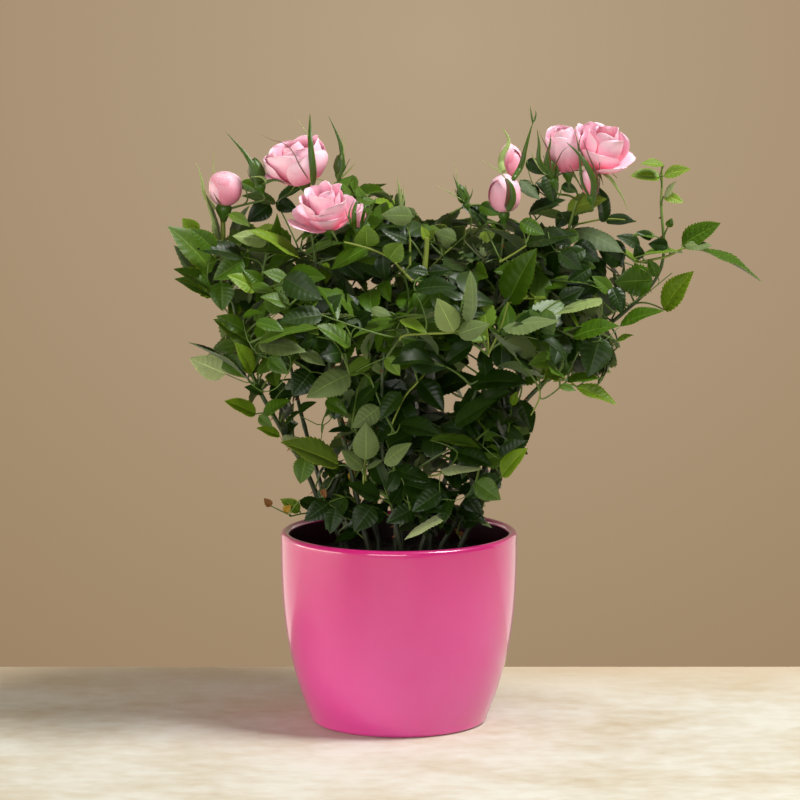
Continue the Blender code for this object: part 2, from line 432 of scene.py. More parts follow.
class Socket:
    """A number from a shader node, which takes part in Python arithmetic."""

    def __init__(self, graph: Graph, output: bpy.types.NodeSocket) -> None:
        """Wraps a node's output in its graph."""
        self.graph = graph
        self.output = output

    def share(self, low: float, high: float) -> Socket:
        """How far the value is on its way from low, 0, to high, 1."""
        return (self - low) * (1 / (high - low))

    def _math(self, operation: str, first: Socket | float, second: Socket | float) -> Socket:
        """Adds a Math node and returns its result."""
        return self.graph.number("ShaderNodeMath", {"operation": operation}, {0: first, 1: second})

    def __add__(self, other: Socket | float) -> Socket:
        """Sum."""
        return self._math("ADD", self, other)

    def __sub__(self, other: Socket | float) -> Socket:
        """Difference."""
        return self._math("SUBTRACT", self, other)

    def __rsub__(self, other: float) -> Socket:
        """Difference from a plain number."""
        return self._math("SUBTRACT", other, self)

    def __mul__(self, other: Socket | float) -> Socket:
        """Product."""
        return self._math("MULTIPLY", self, other)

    def __pow__(self, other: float) -> Socket:
        """Power."""
        return self._math("POWER", self, other)

    def clamped(self) -> Socket:
        """The value kept between 0 and 1."""
        return self.graph.number("ShaderNodeClamp", {}, {"Value": self})


class Graph:
    """A graph of shader nodes."""

    def __init__(self, tree: bpy.types.NodeTree) -> None:
        """Takes up a node tree."""
        self.nodes = tree.nodes
        self.links = tree.links

    def node(self, kind: str, settings: dict, inputs: dict) -> bpy.types.Node:
        """Adds a node.

        Args:
            kind: The node's type.
            settings: Its properties.
            inputs: Values or links for its input sockets, by name or number.

        Returns:
            The node.
        """
        node = self.nodes.new(kind)
        for key, value in settings.items():
            setattr(node, key, value)
        for key, value in inputs.items():
            self.feed(node.inputs[key], value)
        return node

    def feed(self, target: bpy.types.NodeSocket, value: object) -> None:
        """Sets a socket to a value, or links it to another node's output."""
        if isinstance(value, Socket):
            value = value.output
        if isinstance(value, bpy.types.NodeSocket):
            self.links.new(value, target)
        elif target.type == "RGBA":
            target.default_value = (*value, 1)
        else:
            target.default_value = value

    def number(self, kind: str, settings: dict, inputs: dict, output: int | str = 0) -> Socket:
        """Adds a node and wraps one of its outputs as a number."""
        return Socket(self, self.node(kind, settings, inputs).outputs[output])

    def place(self, kind: str = "Object") -> bpy.types.NodeSocket:
        """Coordinates: of the object, or of the direction looked in with Generated."""
        return self.node("ShaderNodeTexCoord", {}, {}).outputs[kind]

    def along(self, axis: str, place: bpy.types.NodeSocket | None = None) -> Socket:
        """One coordinate of a place, which is on the object if none is given."""
        return self.number("ShaderNodeSeparateXYZ", {}, {0: place or self.place()}, axis)

    def noise(self, scale: float, detail: float = 3.0, stretch: Sequence[float] = (1, 1, 1)) -> Socket:
        """Noise between 0 and 1 on object coordinates; scale is in waves per metre."""
        mapping = self.node("ShaderNodeMapping", {}, {"Vector": self.place(), "Scale": stretch})
        settings = {"Vector": mapping.outputs[0], "Scale": scale, "Detail": detail}
        return self.number("ShaderNodeTexNoise", {}, settings)

    def blend(self, mask: Socket | float, first: object, second: object) -> bpy.types.NodeSocket:
        """Mixes two colours by a mask."""
        settings = {"data_type": "RGBA", "clamp_factor": True}
        return self.node("ShaderNodeMix", settings, {0: mask, 6: first, 7: second}).outputs[2]

    def bump(self, height: Socket, strength: float, distance: float) -> bpy.types.NodeSocket:
        """A normal from a height, with its strength and its depth in metres."""
        inputs = {"Height": height, "Strength": strength, "Distance": distance}
        return self.node("ShaderNodeBump", {}, inputs).outputs[0]


class Skin(Graph):
    """The node graph of one material, round its Principled shader."""

    def __init__(self, name: str) -> None:
        """Starts a material with a Principled shader."""
        self.material = bpy.data.materials.new(name)
        self.material.use_nodes = True
        super().__init__(self.material.node_tree)
        self.shader = self.nodes["Principled BSDF"]

    def dress(self, **inputs: object) -> bpy.types.Material:
        """Feeds the Principled shader; underscores in names stand for spaces."""
        for key, value in inputs.items():
            self.feed(self.shader.inputs[key.replace("_", " ")], value)
        return self.material


def srgb(red: float, green: float, blue: float) -> Vector:
    """A colour on the 0 to 255 screen scale as linear light (the sRGB curve)."""
    scaled = np.array([red, green, blue]) / 255
    linear = np.where(scaled <= 0.04045, scaled / 12.92, ((scaled + 0.055) / 1.055) ** 2.4)
    return tuple(float(part) for part in linear)


# --- finishes -------------------------------------------------------------------------------


@dataclass(frozen=True)
class PlainFinish:
    """A finish of one colour, for leaves, stalks and thorns, which are dealt out by spray.

    The colour is on the 0 to 255 screen scale, and the gain multiplies its light. The glow is
    the share of light that passes through the thin blade.
    """

    name: str
    colour: Vector
    roughness: float = 0.45
    glow: float = 0.0
    sheen: float = 0.0
    shine: float = 0.4
    gain: float = 1.0

    def material(self) -> bpy.types.Material:
        """The material."""
        return Skin(self.name).dress(
            Base_Color=tuple(self.gain * part for part in srgb(*self.colour)),
            Roughness=self.roughness,
            Specular_IOR_Level=self.shine,
            Subsurface_Weight=self.glow,
            Subsurface_Radius=(1.0, 1.0, 0.4),
            Subsurface_Scale=0.0012,
            Sheen_Weight=self.sheen,
            Sheen_Roughness=0.5,
        )


@dataclass(frozen=True)
class GlazeFinish:
    """The pot's pink glaze: a clear glossy coat over pink, deepened by painted shade near the lip."""

    name: str = "pink_glaze"
    pale: Vector = srgb(214, 64, 148)
    deep: Vector = srgb(198, 33, 116)
    painted_shade_start: float = 0.03
    painted_shade_full: float = 0.1
    coat: float = 1.0

    def material(self) -> bpy.types.Material:
        """Painted shade deepens the colour with height, with broad clouds, and the surface waves a
        little.
        """
        graph = Skin(self.name)
        # painted shade: the pink deepens between these two heights, standing in for the crown's shade
        # near the lip
        rise = graph.along("Z").share(self.painted_shade_start, self.painted_shade_full)
        depth = (rise * 0.9 + graph.noise(22, 2) * 0.4 - 0.2).clamped()
        return graph.dress(
            Base_Color=graph.blend(depth, self.pale, self.deep),
            Roughness=0.3,
            Specular_IOR_Level=0.5,
            Coat_Weight=self.coat,
            Coat_Roughness=0.08,
            Normal=graph.bump(graph.noise(60, 2), 0.12, 0.0004),
        )


@dataclass(frozen=True)
class SoilFinish:
    """Dark moist peat with paler fibres, darkened further by painted shade under the crown."""

    # the near-black colour is partly the peat's own and partly painted shade
    dark: Vector = srgb(20, 14, 10)
    pale: Vector = srgb(46, 33, 23)

    def material(self) -> bpy.types.Material:
        """Colour and bump follow two sizes of noise."""
        graph = Skin("peat")
        coarse = graph.noise(300, 4)
        fine = graph.noise(1400, 3)
        mask = (coarse * 1.5 + fine * 0.8 - 0.85).clamped()
        return graph.dress(
            Base_Color=graph.blend(mask, self.dark, self.pale),
            Roughness=0.95,
            Normal=graph.bump(coarse + fine * 0.5, 0.9, 0.0012),
        )


@dataclass(frozen=True)
class CaneFinish:
    """Young rose bark: green, brown and darkened by painted shade towards the foot, with fine
    lengthwise lines.
    """

    young: Vector = srgb(112, 138, 48)
    green: Vector = srgb(62, 86, 24)
    # the deep green and the brown below are partly painted shade, made darker for the canes' shaded
    # feet
    deep: Vector = srgb(28, 44, 10)
    brown_and_shade: Vector = srgb(40, 32, 18)
    brown_and_shade_height: float = 0.13
    green_height: float = 0.19
    young_height: float = 0.26
    tip_height: float = 0.3

    def material(self) -> bpy.types.Material:
        """Mottled green that turns brown below, part bark colour and part painted shade, with streaks
        drawn out along the height.
        """
        graph = Skin("cane_bark")
        mottle = graph.noise(260, 3)
        streaks = graph.noise(1500, 3, (1, 1, 0.06))
        height = graph.along("Z")
        # painted shade: below these heights the bark turns to the darkened brown
        brown_and_shade_share = 1 - height.share(self.brown_and_shade_height, self.green_height).clamped()
        skin = graph.blend((mottle * 1.7 - 0.35).clamped(), self.green, self.deep)
        youth = height.share(self.young_height, self.tip_height).clamped()
        skin = graph.blend(youth, skin, self.young)
        brown_and_shade = graph.blend(streaks, self.brown_and_shade, self.deep)
        return graph.dress(
            Base_Color=graph.blend((brown_and_shade_share * 0.9 + mottle * 0.2 - 0.1).clamped(), skin, brown_and_shade),
            Roughness=mottle * 0.25 + 0.4,
            Normal=graph.bump(streaks + mottle * 0.6, 0.5, 0.0006),
        )


@dataclass(frozen=True)
class PetalFinish:
    """One side of the petals: pale to deep pink by a stored value, part own colour, part painted shade.
    """

    name: str
    pale: Vector
    deep: Vector

    def material(self) -> bpy.types.Material:
        """The colour follows the stored shade, part the petal's own colour and part painted shade, with
        faint clouds over it.
        """
        graph = Skin(self.name)
        shade = graph.number("ShaderNodeAttribute", {"attribute_name": "shade"}, {}, output="Fac")
        clouds = graph.noise(380, 2)
        mask = (shade + clouds * 0.3 - 0.15).clamped()
        return graph.dress(
            Base_Color=graph.blend(mask, self.pale, self.deep),
            Roughness=0.55,
            Subsurface_Weight=0.25,
            Subsurface_Radius=(1.0, 0.5, 0.5),
            Subsurface_Scale=0.0018,
            Normal=graph.bump(graph.noise(1500, 2), 0.12, 0.0003),
        )


@dataclass(frozen=True)
class FloorFinish:
    """Pale stone with clouds and fine mottling, browned by painted shade towards its back edge."""

    light: Vector = srgb(214, 213, 203)
    warm: Vector = srgb(190, 177, 150)
    # painted shade: the browner back colour stands in for the wall's shade on the stone
    back: Vector = srgb(200, 178, 148)
    back_edge: float = 0.14
    front_edge: float = -0.02

    def material(self) -> bpy.types.Material:
        """Clouds drawn out from side to side, broken up by a finer grain."""
        graph = Skin("pale_stone")
        clouds = graph.noise(11, 8, (1, 1.6, 1))
        grain = graph.noise(70, 6, (1, 1.4, 1))
        stone = graph.blend((clouds * 2.2 + grain * 1.2 - 1.35).clamped(), self.light, self.warm)
        back_shade_share = graph.along("Y").share(self.front_edge, self.back_edge)
        return graph.dress(
            Base_Color=graph.blend((back_shade_share.clamped() ** 2.0) * 0.8, stone, self.back),
            Roughness=0.7,
        )


class Tone(Enum):
    """The age of a spray of leaves, which sets its greens."""

    OLD = "old"
    MATURE = "mature"
    FRESH = "fresh"
    YOUNG = "young"
    DRY = "dry"


@dataclass(frozen=True)
class LeafFinishes:
    """The finishes of one tone: two colours above, one below and one for the rib.

    The colours are on the 0 to 255 screen scale.
    """

    above: Vector
    above_second: Vector
    below: Vector
    rib: Vector
    roughness: float
    glow: float

    def materials(self, tone: Tone) -> list[bpy.types.Material]:
        """The materials in the order that leaflets count them."""
        rough, glow = self.roughness, self.glow
        rows = (
            ("above", self.above, rough, glow, 0.0, 0.24),
            ("above_second", self.above_second, rough + 0.08, glow, 0.0, 0.24),
            ("below", self.below, 0.62, glow, 0.1),
            ("rib", self.rib, 0.5, glow),
            ("rib_below", self.below, 0.6, 0.0, 0.0, 0.4, 1.9),
        )
        return [PlainFinish(f"leaf_{tone.value}_{part}", *row).material() for part, *row in rows]


LEAF_FINISHES = {
    # the old greens are partly painted shade: darkened towards black for the crown's shaded inside,
    # where old leaves go
    Tone.OLD: LeafFinishes((23, 44, 3), (32, 54, 8), (60, 79, 34), (46, 72, 16), 0.36, 0.1),
    Tone.MATURE: LeafFinishes((58, 88, 10), (66, 93, 20), (88, 106, 52), (86, 116, 32), 0.38, 0.15),
    Tone.FRESH: LeafFinishes((98, 126, 22), (88, 116, 28), (116, 134, 70), (124, 152, 48), 0.44, 0.2),
    Tone.YOUNG: LeafFinishes(
        (112, 136, 40), (102, 126, 38), (150, 162, 110), (144, 166, 66), 0.5, 0.25
    ),
    Tone.DRY: LeafFinishes((158, 122, 34), (112, 70, 34), (150, 120, 60), (120, 84, 40), 0.6, 0.1),
}


# --- view -----------------------------------------------------------------------------------


@dataclass(frozen=True)
class View:
    """The camera: level with the crown and looking a little down, from the bush's best side."""

    distance: float = 2.2
    height: float = 0.51
    side: float = 0.0006
    pitch_deg: float = 8.4
    focal_px: float = 3913.0
    frame_px: int = 800
    sensor_mm: float = 36.0

    @property
    def eye(self) -> Array:
        """The camera's place."""
        return np.array([self.side, -self.distance, self.height])

    def spot(self, pixel: Sequence[float], depth: float) -> Array:
        """The place seen at a pixel.

        The ray through the pixel is followed to the upright plane at the given depth.

        Args:
            pixel: Pixel from the top left corner of the frame.
            depth: The plane's y, in metres; the pot's axis is at 0.

        Returns:
            The place.
        """
        pitch = math.radians(self.pitch_deg)
        right = (pixel[0] - self.frame_px / 2) / self.focal_px
        up = (self.frame_px / 2 - pixel[1]) / self.focal_px
        ray = np.array(
            [right, math.cos(pitch) + up * math.sin(pitch), up * math.cos(pitch) - math.sin(pitch)]
        )
        return self.eye + ray * ((depth + self.distance) / ray[1])

    def pixels(self, places: Array) -> Array:
        """The pixels at which places are seen, one row each."""
        pitch = math.radians(self.pitch_deg)
        offset = places - self.eye
        depth = offset[..., 1] * math.cos(pitch) - offset[..., 2] * math.sin(pitch)
        up = offset[..., 1] * math.sin(pitch) + offset[..., 2] * math.cos(pitch)
        half = self.frame_px / 2
        return np.stack(
            [half + self.focal_px * offset[..., 0] / depth, half - self.focal_px * up / depth], -1
        )

    def add_camera(self) -> None:
        """Puts the camera in place and makes it the scene's own."""
        camera = bpy.data.cameras.new("camera")
        camera.sensor_width = self.sensor_mm
        camera.lens = self.focal_px / self.frame_px * self.sensor_mm
        camera.clip_start = 0.05
        camera.clip_end = 50
        holder = put("camera", camera)
        holder.location = self.eye
        holder.rotation_euler = (math.radians(90 - self.pitch_deg), 0, 0)
        bpy.context.scene.camera = holder


# --- pot and soil ---------------------------------------------------------------------------


@dataclass(frozen=True)
class Pot:
    """The glazed pot, turned from one closed section."""

    height: float
    rim_radius: float
    foot_radius: float = 49.5 * MM
    fullness: float = 2.8
    wall: float = 5 * MM
    floor: float = 6 * MM
    foot_rounding: float = 3 * MM
    inner_corner: float = 8 * MM
    side_rings: int = 40
    arc_rings: int = 12
    steps: int = 160
    # painted shade: the dark maroon inside stands in for the crown's shade over the pot's mouth
    inner_shade_colour: Vector = (40, 4, 16)

    @classmethod
    def in_frame(cls) -> Pot:
        """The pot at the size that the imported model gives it."""
        low, high = (np.array(corner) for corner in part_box("pot"))
        return cls(height=float(high[2] - low[2]), rim_radius=float(high[0] - low[0]) / 2)

    def side(self, height: Array | float) -> Array | float:
        """Outer radius at a height: the foot's, plus the rest times one less a power."""
        narrowing = (1 - height / self.height) ** self.fullness
        return self.foot_radius + (self.rim_radius - self.foot_radius) * (1 - narrowing)

    def section(self) -> tuple[Array, Array]:
        """The closed section, from the middle of the inner floor to the middle of the foot.

        Returns:
            The radii of its rings, and their heights with the two poles' heights at the ends.
        """
        lip = self.wall / 2
        lip_height = self.height - lip
        inner_foot = self.floor + self.inner_corner
        corner = math.pi * np.linspace(-0.5, 0, self.arc_rings)
        over = math.pi * np.linspace(1, 0, 2 * self.arc_rings)
        under = math.pi * np.linspace(0, -0.5, self.arc_rings)
        inside = np.linspace(inner_foot, lip_height, self.side_rings)[1:-1]
        outside = np.linspace(lip_height, self.foot_rounding, self.side_rings)[1:-1]
        corner_middle = self.side(inner_foot) - self.wall - self.inner_corner
        foot_middle = self.side(self.foot_rounding) - self.foot_rounding
        radius = np.concatenate(
            [
                corner_middle + self.inner_corner * np.cos(corner),
                self.side(inside) - self.wall,
                self.side(lip_height) - lip + lip * np.cos(over),
                self.side(outside),
                foot_middle + self.foot_rounding * np.cos(under),
            ]
        )
        height = np.concatenate(
            [
                [self.floor],
                inner_foot + self.inner_corner * np.sin(corner),
                inside,
                lip_height + lip * np.sin(over),
                outside,
                self.foot_rounding + self.foot_rounding * np.sin(under),
                [0.0],
            ]
        )
        return radius, height

    def make(self) -> None:
        """Builds the pot."""
        # the inner glaze is painted shade, a dark maroon in place of the glaze's pink
        inside = srgb(*self.inner_shade_colour)
        finishes = [GlazeFinish(), GlazeFinish("inner_glaze", inside, inside, coat=0.2)]
        finishes = [finish.material() for finish in finishes]
        radius, height = self.section()
        inner_bands = self.arc_rings + self.side_rings - 2
        bands = np.where(np.arange(len(radius) - 1) < inner_bands, 1, 0)
        body = turned_solid(radius, height, self.steps, bands)
        Piece("glazed_pot", "pot_glaze", finishes, [body], replaces=["pot"]).make()


@dataclass(frozen=True)
class Soil:
    """The moist peat in the pot: an uneven surface with loose crumbs on it."""

    pot: Pot
    level: float
    side_gap: float = 0.4 * MM
    depth: float = 14 * MM
    rings: int = 60
    steps: int = 150
    crumbs: int = 420
    crumb_size: tuple[float, float] = (0.6 * MM, 2.0 * MM)
    crumb_steps: tuple[float, ...] = (-0.8, -0.3, 0.3, 0.8)
    crumb_girths: tuple[float, ...] = (0.45, 0.85, 0.8, 0.4)
    relief: float = 1.6 * MM
    bumps: tuple[Vector, ...] = ((0.012, 3, 0.6), (0.004, 5, 0.4))
    seed: int = 11

    def surface(self, x: Array, y: Array) -> Array:
        """Height of the soil: its level plus bumps, each a size, a seed and a share."""
        places = np.stack([x, y, np.zeros_like(x)], -1).reshape(-1, 3)
        bumps = sum(value_noise(places, size, seed) * share for size, seed, share in self.bumps)
        return self.level + self.relief * bumps.reshape(x.shape)

    def make(self) -> None:
        """Builds the soil and its crumbs."""
        edge = self.pot.side(self.level) - self.pot.wall - self.side_gap
        share = np.linspace(0, 1, self.rings + 1)[1:]
        radius = np.concatenate([edge * share, [edge, 0.5 * edge]])
        height = np.concatenate([[0], np.zeros(self.rings), [-self.depth, -self.depth], [-self.depth]])
        body = turned_solid(radius, height + self.level, self.steps)
        top = body.points[:, 2] > self.level - TINY
        body.points[top, 2] = self.surface(body.points[top, 0], body.points[top, 1])
        finishes = [SoilFinish().material()]
        Piece("soil", "soil", finishes, [body, self._crumbs(edge)], replaces=["root_ball"]).make()

    def _crumbs(self, edge: float) -> Facets:
        """Short fat tubes, each a crumb, strewn evenly over the disc."""
        rng = np.random.default_rng(self.seed)
        size = rng.uniform(*self.crumb_size, self.crumbs)
        distance = (edge - 2 * self.crumb_size[1]) * np.sqrt(rng.uniform(0, 1, self.crumbs))
        angle = rng.uniform(0, 2 * math.pi, self.crumbs)
        x, y = distance * np.cos(angle), distance * np.sin(angle)
        middle = np.stack([x, y, self.surface(x, y) + size * 0.2], -1)
        lean = unit(rng.normal(0, 1, (self.crumbs, 3)))
        steps = np.array(self.crumb_steps)[None, :, None]
        paths = middle[:, None] + lean[:, None] * size[:, None, None] * steps
        girths = np.array(self.crumb_girths)
        radii = size[:, None] * girths * rng.uniform(0.7, 1.2, (self.crumbs, len(girths)))
        return tubes(paths, radii, 6)


# --- canes and twigs ------------------------------------------------------------------------


@dataclass(frozen=True)
class Cane:
    """One cane: its foot on the soil and the points of its route, in millimetres."""

    foot: tuple[float, float]
    route: tuple[Vector, ...]


CANES = (
    Cane(
        (-30, 2),
        (
            (-44, 1, 124), (-54, -2, 147), (-68, -4, 171), (-85, -6, 206), (-97, -10, 262),
            (-99, -12, 300),
        ),
    ),
    Cane((-33, 12), ((-44, 18, 130), (-60, 24, 190), (-66, 30, 230))),
    Cane((-17, -14), ((-28, -12, 150), (-38, -14, 200), (-50, -18, 290))),
    Cane((2, -25), ((-2, -26, 120), (-10, -24, 170), (-6, -14, 250))),
    Cane((-2, 4), ((0, 6, 140), (5, 8, 200), (-2, 4, 262))),
    Cane((12, -12), ((26, -10, 140), (50, -8, 215), (60, -10, 290))),
    Cane((24, 2), ((46, -2, 140), (76, -4, 215), (100, -10, 300))),
    Cane((34, -8), ((50, -8, 136), (66, -6, 178), (104, -4, 216), (146, -2, 256), (148, 0, 300))),
    Cane((-12, 24), ((-24, 34, 140), (-42, 44, 195), (-52, 50, 245))),
    Cane((18, 24), ((34, 36, 140), (52, 48, 195), (62, 52, 250))),
    Cane((2, 32), ((2, 46, 140), (4, 66, 185), (6, 60, 240))),
)  # fmt: skip


@dataclass
class Limb:
    """A cane, twig or stalk: its centre line and the radius at each of its points."""

    path: Array
    radii: Array


def limb_tubes(limbs: Sequence[Limb], sides: int) -> Facets:
    """Tubes along limbs of the same number of points."""
    paths, radii = (np.array([getattr(limb, part) for limb in limbs]) for part in ("path", "radii"))
    return tubes(paths, radii, sides)


class Framework:
    """The plant's limbs, and the rule by which new twigs grow from the nearest of them."""

    reach_step = 3 * MM
    cane_rise = 8 * MM
    cane_foot = 1.6 * MM
    cane_tip = 0.75 * MM
    climb_cost = 0.9
    climb_allowance = 8 * MM
    twig_foot = 1.0 * MM
    twig_tip = 0.6 * MM
    twig_points = 12
    twig_thinning = 0.85
    stalk_taper = 0.8
    free_pull = 0.42
    leave_pull = 0.3
    arrive_pull = 0.4
    arrive_straight = 3 * MM

    def __init__(self, soil_level: float) -> None:
        """Starts with the canes, upright at the soil and then along their routes."""
        self.canes: list[Limb] = []
        self.twigs: list[Limb] = []
        self.laid: dict[bool, list[Limb]] = {False: [], True: []}
        self.points = np.zeros((0, 3))
        self.heading = np.zeros((0, 3))
        self.thickness = np.zeros(0)
        for cane in CANES:
            foot = np.array([*cane.foot, 0.0]) * MM + UP * soil_level
            route = np.vstack([foot + UP * self.cane_rise, np.array(cane.route, dtype=float) * MM])
            path = np.vstack([foot, spline_through(route, self.reach_step)])
            radii = np.linspace(self.cane_foot, self.cane_tip, len(path))
            self.canes.append(self._keep(Limb(path, radii)))

    def _keep(self, limb: Limb) -> Limb:
        """Adds a limb's points to those that twigs can start from."""
        self.points = np.vstack([self.points, limb.path])
        self.heading = np.vstack([self.heading, unit(np.gradient(limb.path, axis=0))])
        self.thickness = np.concatenate([self.thickness, limb.radii])
        return limb

    def lay(self, path: Array, radius: float, young: bool) -> None:
        """Adds a stalk along a given path."""
        limb = Limb(path, np.linspace(radius, self.stalk_taper * radius, len(path)))
        self.laid[young].append(self._keep(limb))

    def nearest(self, target: Array) -> int:
        """The limb point that costs least to grow from: near, and below the target."""
        distance = np.linalg.norm(self.points - target, axis=1)
        climb = np.maximum(0, self.points[:, 2] - target[2] + self.climb_allowance)
        return int(np.argmin(distance + self.climb_cost * climb))

    def grow(self, target: Array, foot_radius: float | None = None, tip_radius: float | None = None,
             arrive: Array | None = None) -> None:
        """Grows a twig from the nearest limb to a target.

        The twig leaves along the limb, and bends evenly to the target.

        Args:
            target: Where the twig ends.
            foot_radius: Its radius where it starts; thinner than its limb.
            tip_radius: Its radius at the end.
            arrive: The unit direction in which it arrives, or None for a free end.
        """
        start = self.nearest(target)
        origin = self.points[start]
        span = float(np.linalg.norm(target - origin))
        if arrive is None:
            pull = origin + self.heading[start] * span * self.free_pull
            path = bezier(origin, pull, target, self.twig_points)
        else:
            leave = self.heading[start] * span * self.leave_pull
            middle = (origin + leave + target - arrive * span * self.arrive_pull) / 2
            last = target - arrive * self.arrive_straight
            path = spline_through(np.vstack([origin, middle, last, target]), span / 9)
            path = path[np.linspace(0, len(path) - 1, self.twig_points).round().astype(int)]
        foot = min(self.thickness[start] * self.twig_thinning, foot_radius or self.twig_foot)
        limb = Limb(path, np.linspace(foot, min(foot, tip_radius or self.twig_tip), len(path)))
        self.twigs.append(self._keep(limb))


@dataclass(frozen=True)
class CaneBark:
    """The canes' skin: knobbly rings at the nodes and curved thorns."""

    samples: int = 90
    sides: int = 14
    node_gap: float = 19 * MM
    node_swell: float = 0.2
    node_sharpness: int = 16
    thorn_gap: float = 13 * MM
    thorn_length: tuple[float, float] = (1.8 * MM, 3.4 * MM)
    thorn_foot: float = 0.75 * MM
    thorn_sink: float = 0.8
    thorn_hook: float = 0.35
    thorn_point: float = 0.94
    thorn_taper: float = 1.2
    thorn_points: int = 5
    bare_foot: int = 6
    bare_tip: int = 4
    seed: int = 5

    def make(self, framework: Framework, replaces: Sequence[str]) -> None:
        """Builds the canes in one piece, and the thorns on them in another."""
        limbs = []
        wanted = np.linspace(0, 1, self.samples)
        for limb in framework.canes:
            path = resampled(limb.path, wanted)
            length = wanted * length_of(path)
            swell = np.cos(math.pi * length / self.node_gap) ** self.node_sharpness
            radius = np.interp(wanted, np.linspace(0, 1, len(limb.path)), limb.radii)
            limbs.append(Limb(path, radius * (1 + self.node_swell * swell)))
        canes = limb_tubes(limbs, self.sides)
        Piece("canes", "cane", [CaneFinish().material()], [canes], replaces=replaces).make()
        self._make_thorns(limbs)

    def _make_thorns(self, limbs: Sequence[Limb]) -> None:
        """Thorns: short tubes that taper to a point and hook down a little."""
        rng = np.random.default_rng(self.seed)
        rows = []
        for limb in limbs:
            forward = unit(np.gradient(limb.path, axis=0))
            count = int(length_of(limb.path) / self.thorn_gap)
            pick = rng.integers(self.bare_foot, len(limb.path) - self.bare_tip, count)
            out = square_to(rng.normal(0, 1, (count, 3)), forward[pick])
            foot = limb.path[pick] + out * limb.radii[pick, None] * self.thorn_sink
            rows.append((foot, out, forward[pick]))
        foot, out, forward = (np.concatenate(parts)[:, None] for parts in zip(*rows))
        length = rng.uniform(*self.thorn_length, len(foot))[:, None, None]
        steps = np.linspace(0, 1, self.thorn_points)[None, :, None]
        hook = -forward * (steps**2) * length * self.thorn_hook
        paths = foot + out * steps * length + hook
        narrowing = np.linspace(0, self.thorn_point, self.thorn_points)
        radii = self.thorn_foot * (1 - narrowing) ** self.thorn_taper
        thorns = tubes(paths, np.broadcast_to(radii, paths.shape[:2]), 6)
        finish = PlainFinish("thorn_red", (128, 74, 48), 0.4)
        Piece("thorns", "cane", [finish.material()], [thorns]).make()


STALK_FINISHES = {
    False: PlainFinish("stalk_green", (78, 100, 36), 0.5, 0.05),
    True: PlainFinish("stalk_young", (116, 130, 44), 0.5, 0.1),
}


def make_twigs(framework: Framework) -> None:
    """Builds the twigs in one piece, and the listed stalks in two."""
    finish = PlainFinish("twig_green", (80, 104, 36), 0.5, 0.05)
    twigs = limb_tubes(framework.twigs, 8)
    Piece("twigs", "cane", [finish.material()], [twigs]).make()
    for young, limbs in framework.laid.items():
        name = "young_stalks" if young else "green_stalks"
        stalks = [limb_tubes([limb], 8) for limb in limbs]
        Piece(name, "cane", [STALK_FINISHES[young].material()], stalks).make()


# --- leaves ---------------------------------------------------------------------------------


@dataclass(frozen=True)
class Leaflet:
    """One leaflet: its place, the way its rib starts, the way it faces, its size and its form."""

    foot: Array
    along: Array
    face: Array
    length: float
    breadth: float
    bend: float
    fold: float
    twist: float
    phase: float
    finish: tuple[int, int, int]

    @property
    def form(self) -> tuple[float, ...]:
        """The numbers that shape the blade."""
        return self.length, self.breadth, self.bend, self.fold, self.twist, self.phase

    def marks(self) -> list[Array]:
        """Five points on it: its middle, both sides, near its tip and near its foot."""
        face = square_to(self.face, self.along)
        side = np.cross(face, self.along) * self.breadth * 0.42
        middle = self.foot + self.along * self.length * 0.45
        tip = self.foot + self.along * self.length * 0.93 - face * self.length * 0.4 * self.bend
        return [middle, middle + side, middle - side, tip, (self.foot + middle) / 2]


